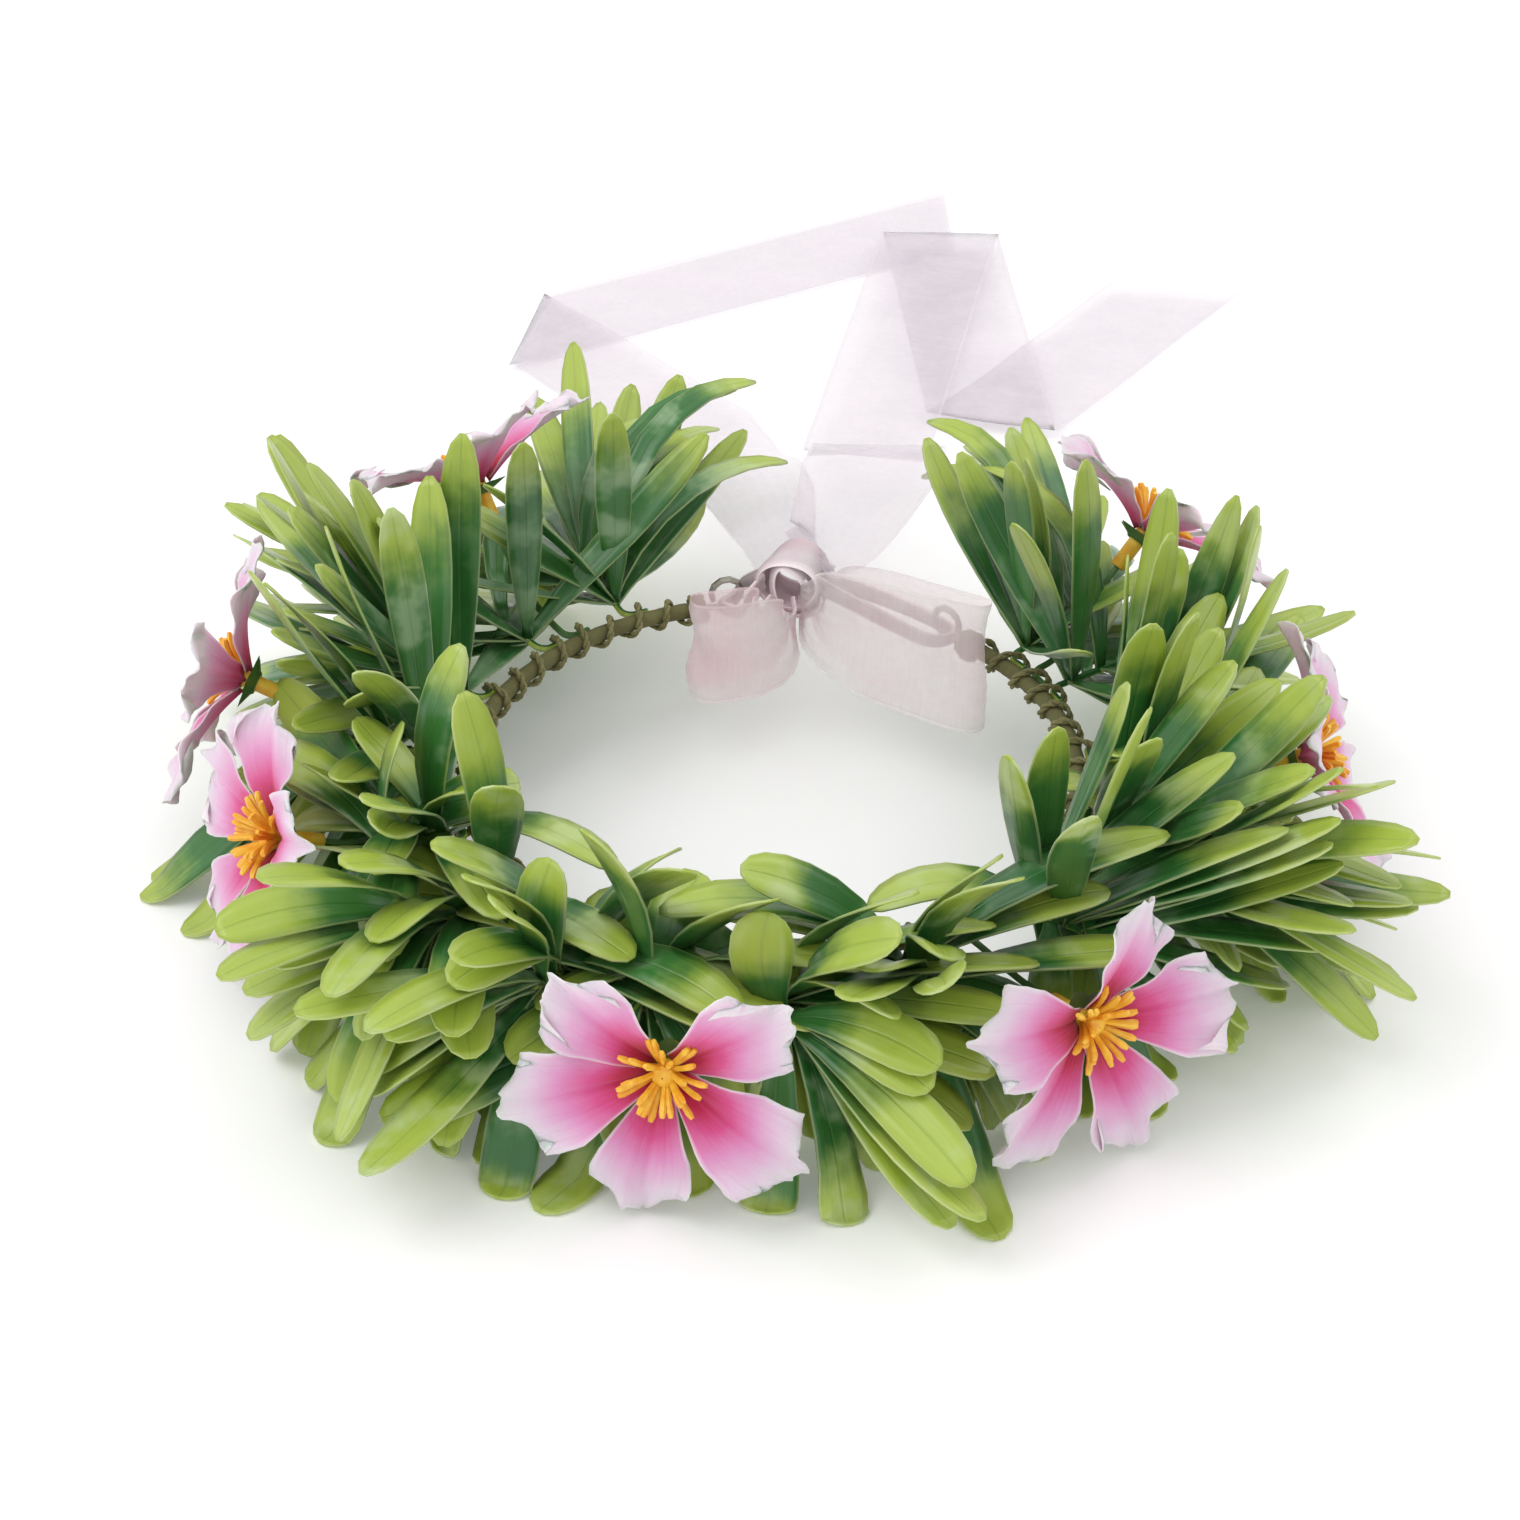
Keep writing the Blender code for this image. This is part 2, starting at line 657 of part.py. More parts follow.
def add_blossom(blossom):
    """The petals, stamens and calyx hang from an empty on the stem's axis, which they turn about."""
    name, _, _, _, _, _, _, spin = blossom
    centre, facing, _ = blossom_axes(blossom)
    head = bpy.data.objects.new(f"blossom_{name}_head", None)
    CROWN.objects.link(head)
    head.location = centre
    head.rotation_mode = "QUATERNION"
    turn = Vector((0.0, 0.0, 1.0)).rotation_difference(facing)
    head.rotation_quaternion = turn
    peg = PEG_DIAMETER / 2
    bore = STEM_DIAMETER / 2 + FIT_GAP
    seat = PETAL_WAIST_RISE + PETAL_THICKNESS + 3 * FIT_GAP
    stamen_profile = (
        (0.0, STAMEN_HEIGHT * 0.85),
        (STAMEN_RADIUS * 0.8, STAMEN_HEIGHT),
        (STAMEN_RADIUS, STAMEN_HEIGHT * 0.85),
        (PETAL_WAIST_RADIUS * 0.8, seat + 0.0012),
        (peg, seat),
        (peg, -PEG_LENGTH),
        (bore, -PEG_LENGTH),
        (bore, SOCKET_DEPTH - PEG_LENGTH),
        (0.0, SOCKET_DEPTH - PEG_LENGTH),
    )
    turned(f"blossom_{name}_stamens", stamen_profile, "stamen", head)
    hole = peg + FIT_GAP
    calyx_profile = (
        (CALYX_RADIUS, -FIT_GAP * 1.5),
        (CALYX_RADIUS * 0.8, -CALYX_DEPTH * 0.55),
        (hole + 0.0007, -CALYX_DEPTH),
        (hole, -CALYX_DEPTH),
        (hole, -FIT_GAP * 1.5),
    )
    turned(f"blossom_{name}_calyx", calyx_profile, "calyx", head)
    petals = petals_of(f"blossom_{name}_petals", head)
    petals.rotation_euler = (0.0, 0.0, math.radians(spin))
    route = blossom_stem_route(blossom)
    tube(f"blossom_{name}_stem", route, STEM_DIAMETER, "stem")
    return head


def swept_blossom(blossom):
    """The room that a blossom sweeps as it turns on its stem: a dish, and a bar round its stem."""
    centre, facing, _ = blossom_axes(blossom)
    side = facing.orthogonal().normalized()
    room = 0.0015
    rings = []
    lower = ((0.004, -CALYX_DEPTH - room), (CALYX_RADIUS + room, -CALYX_DEPTH - room))
    upper = (
        (PETAL_REACH * 0.5, PETAL_CUP * 0.3 - room),
        (PETAL_REACH * 1.03, PETAL_CUP * 0.85 - room),
        (PETAL_REACH * 1.03, PETAL_CUP + room),
        (STAMEN_RADIUS + room, STAMEN_HEIGHT + 2 * room),
        (0.004, STAMEN_HEIGHT + 2 * room),
    )
    for radius, height in lower + upper:
        rings.append(ring_section(centre + facing * height, facing, side, radius, 12))
    route = blossom_stem_route(blossom)
    bars = []
    for point, after in zip(route[4:], route[5:]):
        way = (after - point).normalized()
        across = way.orthogonal().normalized()
        bars.append(ring_section(point, way, across, STEM_DIAMETER / 2 + room, 6))
    return BVHTree.FromPolygons(*hull_of(rings)), BVHTree.FromPolygons(*hull_of(bars))


# ---------------------------------------------------------------- ribbon


def band(name, pairs):
    """A strip of ribbon from the pairs of points on its two edges, grown edge by edge."""
    bm = bmesh.new()
    left, right = (bm.verts.new(point) for point in pairs[0])
    edge = bm.edges.new((left, right))
    for next_left, next_right in pairs[1:]:
        made = bmesh.ops.extrude_edge_only(bm, edges=[edge])["geom"]
        fresh = [v for v in made if isinstance(v, bmesh.types.BMVert)]
        edge = next(e for e in made if isinstance(e, bmesh.types.BMEdge))
        follows_left = [v for v in fresh if left in [e.other_vert(v) for e in v.link_edges]]
        left = follows_left[0]
        right = next(v for v in fresh if v is not left)
        left.co, right.co = next_left, next_right
    bmesh.ops.recalc_face_normals(bm, faces=bm.faces)
    made = add_object(name, mesh_from(name, bm), "organza")
    solid = made.modifiers.new("Cloth", "SOLIDIFY")
    solid.thickness = RIBBON_THICKNESS
    solid.offset = 0.0
    return made


def standing_loop(name, plan, drop, width):
    """A loop of the bow, standing on edge over its plan beside the hoop."""
    pairs = []
    for angle, inset in plan:
        low = ring_point(angle, HOOP_RADIUS - inset, HOOP_HEIGHT - drop)
        pairs.append((low, low + UP * width))
    return band(name, pairs)


def ribbon_tail(name, drop, runs, heights):
    """A tail: down from the knot to the table, then flat runs with a fold between each two.

    Each fold turns the ribbon over along a crease half way between the two headings, and the next
    run lies at its own height.
    """
    half = RIBBON_WIDTH / 2
    knot = knot_centre()
    points = [Vector((knot.x + x, knot.y + y, z)) for x, y, z, _ in drop]
    points[-1].z = heights[0]
    pairs = []
    for index, point in enumerate(points):
        way = points[min(len(points) - 1, index + 1)] - points[max(0, index - 1)]
        if index == len(points) - 1:
            way = outwards(runs[0][0])
        side = Vector((-way.y, way.x, 0.0)).normalized() * drop[index][3]
        pairs.append((point + side, point - side))
    here = points[-1]
    turned_over = 1.0
    for index, (compass, length) in enumerate(runs):
        way = outwards(compass)
        left = UP.cross(way) * half * turned_over
        if index:
            after = here + way * RIBBON_FOLD
            pairs.append((after + left, after - left))
        here = here + way * length
        if index == len(runs) - 1:
            pairs.append((here + left - way * half, here - left))
            break
        before = here - way * RIBBON_FOLD
        pairs.append((before + left, before - left))
        crease = (way + outwards(runs[index + 1][0])).normalized()
        crease *= half / abs(crease.dot(left.normalized()))
        if crease.dot(left) < 0:
            crease = -crease
        here.z = heights[index + 1]
        middle = Vector((here.x, here.y, (heights[index] + heights[index + 1]) / 2))
        pairs.append((middle + crease, middle - crease))
        turned_over = -turned_over
    return band(name, pairs)


def knot_centre():
    return ring_point(KNOT_ANGLE, HOOP_RADIUS + KNOT_OUT, HOOP_HEIGHT + KNOT_UP)


def ribbon_strand(name, end_angle, way):
    """The gathered ribbon: out from the knot, through an eye of the hoop and back."""
    eye = eye_centre(end_angle, way)
    knot = knot_centre()
    towards = (Vector((knot.x, knot.y, eye.z)) - eye).normalized()
    near = knot - towards * (KNOT_SIZE.x / 2 + STRAND_DIAMETER)
    spread = outwards(end_angle) * STRAND_SPREAD
    places = ((near, 0.45), (near.lerp(eye, 0.5), 1.0), (eye + towards * 0.003, 1.0), (eye, 0.55))
    points = [place + spread * share for place, share in places]
    points.append(eye - towards * 0.0006)
    points += [place - spread * share for place, share in reversed(places)]
    return tube(name, points, STRAND_DIAMETER, "organza")


def ribbon_knot():
    """A soft lump from a box, the middle of the bow."""
    bm = bmesh.new()
    bmesh.ops.create_cube(bm, size=1.0)
    bmesh.ops.scale(bm, vec=KNOT_SIZE, verts=bm.verts)
    made = add_object("ribbon_knot", mesh_from("ribbon_knot", bm), "organza")
    made.location = knot_centre()
    soft = made.modifiers.new("Soft", "SUBSURF")
    soft.levels = 2
    soft.render_levels = 2
    return made


def add_ribbon():
    ribbon_knot()
    ribbon_strand("ribbon_strand_left", -HOOP_HALF_SWEEP, -1.0)
    ribbon_strand("ribbon_strand_right", HOOP_HALF_SWEEP, 1.0)
    standing_loop("ribbon_loop_right", RIGHT_LOOP, RIGHT_LOOP_DROP, RIBBON_WIDTH)
    standing_loop("ribbon_loop_left", LEFT_LOOP, LEFT_LOOP_DROP, LEFT_LOOP_WIDTH)
    layers = [RIBBON_THICKNESS + RIBBON_LAYER * step for step in range(4)]
    ribbon_tail("ribbon_tail_left", LEFT_DROP, LEFT_RUNS, (layers[1], layers[0]))
    ribbon_tail("ribbon_tail_right", RIGHT_DROP, RIGHT_RUNS, (layers[3], layers[2], layers[1]))


# ---------------------------------------------------------------- the crown

clear_scene()
CROWN = new_collection("flower_crown")
hoop_wire()
hoop_sleeve()
binding_twine()
add_ribbon()
room_taken = []
for flower in BLOSSOMS:
    add_blossom(flower)
    room_taken.extend(swept_blossom(flower))
bpy.context.view_layer.update()
graph = bpy.context.evaluated_depsgraph_get()
for piece in CROWN.objects:
    if piece.name.startswith("ribbon"):
        shown = piece.evaluated_get(graph).to_mesh()
        corners = [piece.matrix_world @ vert.co for vert in shown.vertices]
        room_taken.append(BVHTree.FromPolygons(corners, [tuple(p.vertices) for p in shown.polygons]))
stems = [stem_room(place) for place in SPRIG_TURNS]
for index, place in enumerate(SPRIG_TURNS):
    from_front = turn_angle(place)
    if abs(from_front) < 60.0:
        style = FRONT_LEAVES
    elif abs(from_front) < 105.0:
        style = SIDE_LEAVES
    elif abs(from_front) < 132.0:
        style = BACK_LEAVES
    else:
        style = END_LEAVES
    if from_front > 0:
        style = [(leaf[0], -leaf[1], leaf[2], leaf[3], -leaf[4], leaf[5]) for leaf in style]
    others = stems[:index] + stems[index + 1 :]
    room_taken.append(leaf_sprig(index + 1, place, style, room_taken + others))
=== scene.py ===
"""The flower crown's looks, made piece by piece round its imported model."""

import json
import math
import random

import bpy
import numpy as np
from mathutils import Matrix, Vector, noise
from mathutils.bvhtree import BVHTree


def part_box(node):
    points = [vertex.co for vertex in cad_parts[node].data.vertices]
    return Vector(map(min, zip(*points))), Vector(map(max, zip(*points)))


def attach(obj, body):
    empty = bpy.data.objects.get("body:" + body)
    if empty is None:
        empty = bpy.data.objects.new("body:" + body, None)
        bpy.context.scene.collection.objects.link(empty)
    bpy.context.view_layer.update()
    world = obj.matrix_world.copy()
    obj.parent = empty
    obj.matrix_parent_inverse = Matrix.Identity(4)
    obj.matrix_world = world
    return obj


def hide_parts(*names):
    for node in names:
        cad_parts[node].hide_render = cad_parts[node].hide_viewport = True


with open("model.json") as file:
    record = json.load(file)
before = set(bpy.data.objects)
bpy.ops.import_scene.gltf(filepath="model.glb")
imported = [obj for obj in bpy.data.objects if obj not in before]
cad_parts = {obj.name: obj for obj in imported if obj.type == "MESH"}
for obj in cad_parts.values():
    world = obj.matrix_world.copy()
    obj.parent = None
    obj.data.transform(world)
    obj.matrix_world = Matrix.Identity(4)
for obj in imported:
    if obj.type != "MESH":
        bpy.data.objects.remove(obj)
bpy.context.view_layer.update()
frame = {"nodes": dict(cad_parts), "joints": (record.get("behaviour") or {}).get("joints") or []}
bpy.ops.object.select_all(action="DESELECT")

# The table, the light and the camera.
# A white table under a broad soft tent of light, seen from above the front of the crown and a
# little to its right, through a long lens.
CAMERA_AZIMUTH = math.radians(14)
CAMERA_ELEVATION = math.radians(35)
CAMERA_DISTANCE = 1.0
LENS_MM = 93.08
hoop_low, hoop_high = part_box("hoop_sleeve")
HOOP_HEIGHT = (hoop_low.z + hoop_high.z) / 2
AIM_SHIFT = 0.003
aim = Vector((-AIM_SHIFT, 0.0, HOOP_HEIGHT + AIM_SHIFT))
aim.rotate(Matrix.Rotation(CAMERA_AZIMUTH, 3, "Z"))
away = Vector(
    (
        math.sin(CAMERA_AZIMUTH) * math.cos(CAMERA_ELEVATION),
        -math.cos(CAMERA_AZIMUTH) * math.cos(CAMERA_ELEVATION),
        math.sin(CAMERA_ELEVATION),
    )
)
bpy.ops.object.camera_add(
    location=aim + away * CAMERA_DISTANCE,
    rotation=(math.pi / 2 - CAMERA_ELEVATION, 0, CAMERA_AZIMUTH),
)
camera = bpy.context.object
camera.data.lens = LENS_MM
bpy.context.scene.camera = camera


class Value:
    """A socket of a material's nodes. Arithmetic on it adds Math nodes."""

    def __init__(self, finish, socket):
        self.finish = finish
        self.socket = socket

    def math(self, operation, other=0.0, first=None):
        inputs = {0: self, 1: other} if first is None else {0: first, 1: self}
        return self.finish.node("ShaderNodeMath", inputs, operation=operation)

    def __add__(self, other):
        return self.math("ADD", other)

    __radd__ = __add__

    def __mul__(self, other):
        return self.math("MULTIPLY", other)

    __rmul__ = __mul__

    def __sub__(self, other):
        return self.math("SUBTRACT", other)

    def __rsub__(self, other):
        return self.math("SUBTRACT", first=other)

    def between(self, low, high):
        """0 below low, 1 above high, and smooth between them."""
        sockets = {"Value": self, "From Min": low, "From Max": high}
        return self.finish.node("ShaderNodeMapRange", sockets, interpolation_type="SMOOTHSTEP")


class Finish:
    """A material made of one Principled shader and the nodes that feed it."""

    def __init__(self, name, **fixed):
        self.material = bpy.data.materials.new(name)
        self.material.use_nodes = True
        self.tree = self.material.node_tree
        self.shader = self.tree.nodes["Principled BSDF"]
        for socket, value in fixed.items():
            self.shader.inputs[socket.replace("_", " ")].default_value = value

    def node(self, kind, inputs=(), output=0, stops=(), **settings):
        made = self.tree.nodes.new(kind)
        for setting, value in settings.items():
            setattr(made, setting, value)
        if stops:
            ramp = made.color_ramp.elements
            while len(ramp) < len(stops):
                ramp.new(1.0)
            for element, (place, colour) in zip(ramp, stops):
                element.position = place
                element.color = (*colour, 1.0)
        for socket, value in dict(inputs).items():
            self.feed(made.inputs[socket], value)
        return Value(self, made.outputs[output])

    def feed(self, socket, value):
        if isinstance(value, Value):
            self.tree.links.new(value.socket, socket)
        elif isinstance(value, tuple) and len(value) == 3 and socket.type == "RGBA":
            socket.default_value = (*value, 1.0)
        else:
            socket.default_value = value

    def surface(self, socket, value):
        self.feed(self.shader.inputs[socket], value)

    def place(self):
        return self.node("ShaderNodeTexCoord", output="Object")

    def across_and_along(self):
        """The piece's own UV map: across it, and along it from its base."""
        uv = self.node("ShaderNodeUVMap", uv_map="UVMap")
        return self.parts(uv, "XY")

    def parts(self, value, axes):
        return [self.node("ShaderNodeSeparateXYZ", {0: value}, axis) for axis in axes]

    def vector(self, x, y, z):
        return self.node("ShaderNodeCombineXYZ", {0: x, 1: y, 2: z})

    def grain(self, where, scale, detail=2.0):
        inputs = {"Vector": where, "Scale": scale, "Detail": detail}
        return self.node("ShaderNodeTexNoise", inputs, "Fac")

    def mixed(self, share, first, second):
        inputs = {"Factor": share, "A": first, "B": second}
        made = self.tree.nodes.new("ShaderNodeMix")
        made.data_type = "RGBA"
        for name, value in inputs.items():
            matching = [s for s in made.inputs if s.name == name and s.enabled]
            self.feed(matching[0], value)
        return Value(self, [s for s in made.outputs if s.enabled][0])

    def relief(self, height, strength, distance):
        inputs = {"Height": height, "Strength": strength, "Distance": distance}
        self.surface("Normal", self.node("ShaderNodeBump", inputs))


def floor_finish():
    glow = (1.0, 1.0, 1.0, 1.0)
    finish = Finish("table_white", Roughness=0.9, Emission_Color=glow, Emission_Strength=0.11)
    mottle = finish.grain(finish.place(), 40.0)
    finish.surface("Base Color", finish.mixed(mottle, (0.93, 0.93, 0.935), (0.95, 0.95, 0.95)))
    return finish.material


bpy.ops.mesh.primitive_grid_add(x_subdivisions=8, y_subdivisions=8, size=6.0, location=(0, 0, -0.0002))
table = bpy.context.object
table.name = "table"
table.data.materials.append(floor_finish())

bpy.context.scene.world = bpy.data.worlds.new("tent")
bpy.context.scene.world.use_nodes = True
tent = bpy.context.scene.world.node_tree.nodes["Background"]
tent.inputs["Color"].default_value = (1.0, 1.0, 1.0, 1.0)
tent.inputs["Strength"].default_value = 0.89
for spot, size, power in (((-0.9, -0.5, 1.5), 1.2, 10.0), ((0.8, 0.9, 1.3), 1.0, 4.0)):
    bpy.ops.object.light_add(type="AREA", location=spot)
    lamp = bpy.context.object
    lamp.data.size = size
    lamp.data.energy = power
    lamp.rotation_euler = (-Vector(spot)).to_track_quat("-Z", "Y").to_euler()
bpy.context.scene.view_settings.view_transform = "Standard"

# The hoop wire.
# A drawn steel wire bent to an open ring, with an eye turned in each end for the ribbon. It shows
# only at its eyes.
SLEEVE_RADIUS = (hoop_high.z - hoop_low.z) / 2
HOOP_RADIUS = 0.078
GAP_HALF_ANGLE = 27.0
HALF_SWEEP = 180.0 - GAP_HALF_ANGLE
UP = Vector((0.0, 0.0, 1.0))


def outwards(angle):
    turn = math.radians(angle)
    return Vector((math.sin(turn), -math.cos(turn), 0.0))


def onwards(angle):
    turn = math.radians(angle)
    return Vector((math.cos(turn), math.sin(turn), 0.0))


def heading(angle, lift):
    rise = math.radians(lift)
    return outwards(angle) * math.cos(rise) + UP * math.sin(rise)


def ring_point(angle, radius, height):
    return outwards(angle) * radius + UP * height


def add_finish(piece, material):
    piece.data.materials.clear()
    piece.data.materials.append(material)


def rod(name, points, radius, sides=12, radii=None):
    """A round bar along points, drawn as a bevelled curve and turned into a mesh."""
    bpy.ops.object.select_all(action="DESELECT")
    bpy.ops.curve.primitive_nurbs_path_add()
    made = bpy.context.object
    made.name = name
    made.data.splines.clear()
    spline = made.data.splines.new("POLY")
    spline.points.add(len(points) - 1)
    for index, point in enumerate(points):
        spline.points[index].co = (*point, 1.0)
        spline.points[index].radius = radii[index] if radii else 1.0
    made.data.bevel_depth = radius
    made.data.bevel_resolution = max(0, sides // 2 - 2) // 2
    made.data.use_fill_caps = True
    bpy.ops.object.convert(target="MESH")
    made = bpy.context.object
    bpy.ops.object.mode_set(mode="EDIT")
    bpy.ops.mesh.select_all(action="SELECT")
    bpy.ops.mesh.remove_doubles(threshold=0.00001)
    bpy.ops.mesh.normals_make_consistent(inside=False)
    bpy.ops.object.mode_set(mode="OBJECT")
    bpy.ops.object.shade_smooth_by_angle(angle=math.radians(40))
    return made


def wire_finish():
    finish = Finish("dull_steel", Metallic=1.0)
    tarnish = finish.grain(finish.place(), 400.0, 4.0)
    finish.surface("Base Color", finish.mixed(tarnish, (0.30, 0.28, 0.23), (0.62, 0.60, 0.55)))
    finish.surface("Roughness", 0.3 + tarnish * 0.25)
    return finish.material


add_finish(frame["nodes"]["hoop_wire"], wire_finish())

# The paper sleeve.
# Crepe paper tape rolled round the wire in a slow spiral, whose edges show as low ridges. It is
# pinched onto the wire at both ends of the hoop.
TAPE_STEP = 3.4
WIRE_RADIUS = 0.0009


def hoop_arc(steps):
    angles = [HALF_SWEEP * (2 * step / steps - 1) for step in range(steps + 1)]
    return [ring_point(angle, HOOP_RADIUS, HOOP_HEIGHT) for angle in angles]


def points_of(piece):
    flat = np.empty(len(piece.data.vertices) * 3, np.float32)
    piece.data.vertices.foreach_get("co", flat)
    return flat.reshape(-1, 3).astype(float)


def move_points(piece, points):
    piece.data.vertices.foreach_set("co", points.astype(np.float32).ravel())
    piece.data.update()


def rolled_tape(piece):
    points = points_of(piece)
    angle = np.degrees(np.arctan2(points[:, 0], -points[:, 1]))
    radial = np.hypot(points[:, 0], points[:, 1])
    out = radial - HOOP_RADIUS
    up = points[:, 2] - HOOP_HEIGHT
    turn = (angle / TAPE_STEP + np.arctan2(up, out) / (2 * math.pi)) % 1.0
    crumple = np.array([noise.noise(Vector(point) * 500.0) for point in points])
    grown = 0.93 + 0.07 * turn + 0.03 * crumple
    pinch = np.clip((HALF_SWEEP - np.abs(angle)) / 1.2, 0.0, 1.0) ** 0.5
    grown *= (WIRE_RADIUS * 1.3 + (SLEEVE_RADIUS - WIRE_RADIUS * 1.3) * pinch) / SLEEVE_RADIUS
    radius = HOOP_RADIUS + out * grown
    points[:, 0] *= radius / radial
    points[:, 1] *= radius / radial
    points[:, 2] = HOOP_HEIGHT + up * grown
    move_points(piece, points)


def paper_finish():
    finish = Finish("crepe_paper", Roughness=0.85)
    where = finish.place()
    creases = finish.grain(where, 900.0, 3.0)
    stain = finish.grain(where, 120.0)
    shade = finish.mixed(stain, (0.105, 0.100, 0.035), (0.225, 0.215, 0.085))
    finish.surface("Base Color", finish.mixed(creases * 0.4, shade, (0.05, 0.045, 0.018)))
    finish.relief(creases, 0.5, 0.0003)
    return finish.material


sleeve = rod("paper_sleeve", hoop_arc(420), SLEEVE_RADIUS, 16)
rolled_tape(sleeve)
add_finish(sleeve, paper_finish())
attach(sleeve, "crown")
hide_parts("hoop_sleeve")

# The binding twine.
# Two plies of olive paper cord, twisted and wound by hand over the sleeve and the feet of the
# stems, with a few close turns at each end of the hoop.
TWINE_TURNS = 48
PLY_SWELL = 1.12
TWINE_RADIUS = 0.0006
PLY_RADIUS = 0.00050
TWISTS_PER_TURN = 4.0
STEM_RADIUS = 0.00095
FIT_GAP = 0.0003
OVAL_INNER = SLEEVE_RADIUS + FIT_GAP + TWINE_RADIUS
OVAL_OUTER = OVAL_INNER + 2 * STEM_RADIUS + FIT_GAP
POINTS_PER_TURN = 30
CLOSE_TURNS = 3
CLOSE_PITCH = 0.15
FOOT_TURNS = 0.75
SPRIG_TURNS = (
    *(2.5, 5.5, 8.5, 11.5, 15.5, 18.5, 21.5, 23.5),
    *(26.5, 29.5, 33.5, 36.5, 38.5, 41.5, 44.5, 46.5),
)
BLOSSOM_TURNS = {
    "front": 24.5,
    "front_right": 31.5,
    "right": 40.5,
    "back_right": 45.5,
    "back_left": 4.5,
    "far_left": 10.5,
    "left": 14.5,
}


def turn_angle(turns):
    return HALF_SWEEP * (2 * turns / TWINE_TURNS - 1)


def wound_places():
    """Pairs of a place along the hoop and a phase round it, both in turns, for each twine point."""
    places = []
    for step in range(CLOSE_TURNS * POINTS_PER_TURN):
        wound = step / POINTS_PER_TURN - CLOSE_TURNS
        places.append((0.5 + wound * CLOSE_PITCH, 0.5 + wound))
    for step in range((TWINE_TURNS - 1) * POINTS_PER_TURN):
        turns = 0.5 + step / POINTS_PER_TURN
        ease = min(1.0, step / POINTS_PER_TURN, TWINE_TURNS - 0.5 - turns)
        slack = 0.25 * ease * noise.noise(Vector((turns * 0.45, 1.7, 0.0)))
        places.append((turns + slack, turns))
    for step in range(CLOSE_TURNS * POINTS_PER_TURN + 1):
        wound = step / POINTS_PER_TURN
        places.append((TWINE_TURNS - 0.5 + wound * CLOSE_PITCH, TWINE_TURNS - 0.5 + wound))
    return places


def over_stems(turns):
    """1 where the twine crosses the foot of a stem, and 0 where it lies on the sleeve."""
    feet = (*SPRIG_TURNS, *BLOSSOM_TURNS.values())
    gaps = [max(foot - FOOT_TURNS - turns, turns - foot, 0.0) for foot in feet]
    return max(0.0, 1.0 - max(0.0, min(gaps) - 0.15) / 0.35)


def ply(name, side):
    points = []
    for turns, phase_turns in wound_places():
        phase = 2 * math.pi * phase_turns
        angle = turn_angle(turns)
        loose = 0.00035 * abs(noise.noise(Vector((phase_turns * 2.3, 4.1, 0.0))))
        bulge = (OVAL_OUTER - OVAL_INNER) * over_stems(turns)
        offset = bulge / 2
        across = OVAL_INNER + bulge / 2 + loose
        upright = OVAL_INNER + loose
        centre = ring_point(angle, HOOP_RADIUS + offset + across * math.cos(phase), HOOP_HEIGHT)
        centre += UP * upright * math.sin(phase)
        lifted = outwards(angle) * math.cos(phase) + UP * math.sin(phase)
        twist = phase * TWISTS_PER_TURN + side
        twisted = lifted * math.cos(twist) + onwards(angle) * math.sin(twist)
        points.append(centre + twisted * PLY_RADIUS)
    return rod(name, points, PLY_RADIUS * PLY_SWELL, 8)


def twine_finish():
    finish = Finish("paper_twine", Roughness=0.75)
    where = finish.place()
    strands = finish.grain(where, 1400.0, 3.0)
    stain = finish.grain(where, 160.0)
    shade = finish.mixed(stain, (0.130, 0.122, 0.040), (0.330, 0.300, 0.135))
    lines = strands.between(0.45, 0.75) * 0.6
    finish.surface("Base Color", finish.mixed(lines, shade, (0.05, 0.045, 0.02)))
    finish.relief(strands, 0.6, 0.0003)
    return finish.material


def copy_of(master):
    made = master.copy()
    made.data = master.data.copy()
    bpy.context.scene.collection.objects.link(made)
    return made


def select_only(piece):
    bpy.ops.object.select_all(action="DESELECT")
    piece.select_set(True)
    bpy.context.view_layer.objects.active = piece


def joined(name, pieces):
    bpy.ops.object.select_all(action="DESELECT")
    for piece in pieces:
        piece.select_set(True)
    bpy.context.view_layer.objects.active = pieces[0]
    if len(pieces) > 1:
        bpy.ops.object.join()
    pieces[0].name = name
    return pieces[0]


twine = joined("twine", [ply("ply_a", 0.0), ply("ply_b", math.pi)])
add_finish(twine, twine_finish())
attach(twine, "crown")
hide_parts("binding_twine")

# The blossom stems.
# Thin moulded stems, whose feet are bound under the twine. Each bends out between two turns and
# sweeps round into the socket behind its blossom.
FOOT_RADIUS = HOOP_RADIUS + SLEEVE_RADIUS + FIT_GAP + STEM_RADIUS
STEM_BEND_RADIUS = 0.0032
STEM_RISE = 8.0
PEG_LENGTH = 0.011
SOCKET_DEPTH = 0.007


def stem_route(turns):
    """Points of a stem's foot and bend, and the way that it heads out."""
    bend = math.degrees(STEM_BEND_RADIUS / FOOT_RADIUS)
    start, end = turn_angle(turns - FOOT_TURNS), turn_angle(turns) - bend
    points = [ring_point(start + (end - start) * step / 4, FOOT_RADIUS, HOOP_HEIGHT) for step in range(5)]
    out = heading(end, STEM_RISE)
    for step in range(1, 7):
        turn = math.pi / 2 * step / 6
        along = onwards(end) * math.sin(turn) + out * (1 - math.cos(turn))
        points.append(points[4] + along * STEM_BEND_RADIUS)
    return points, out


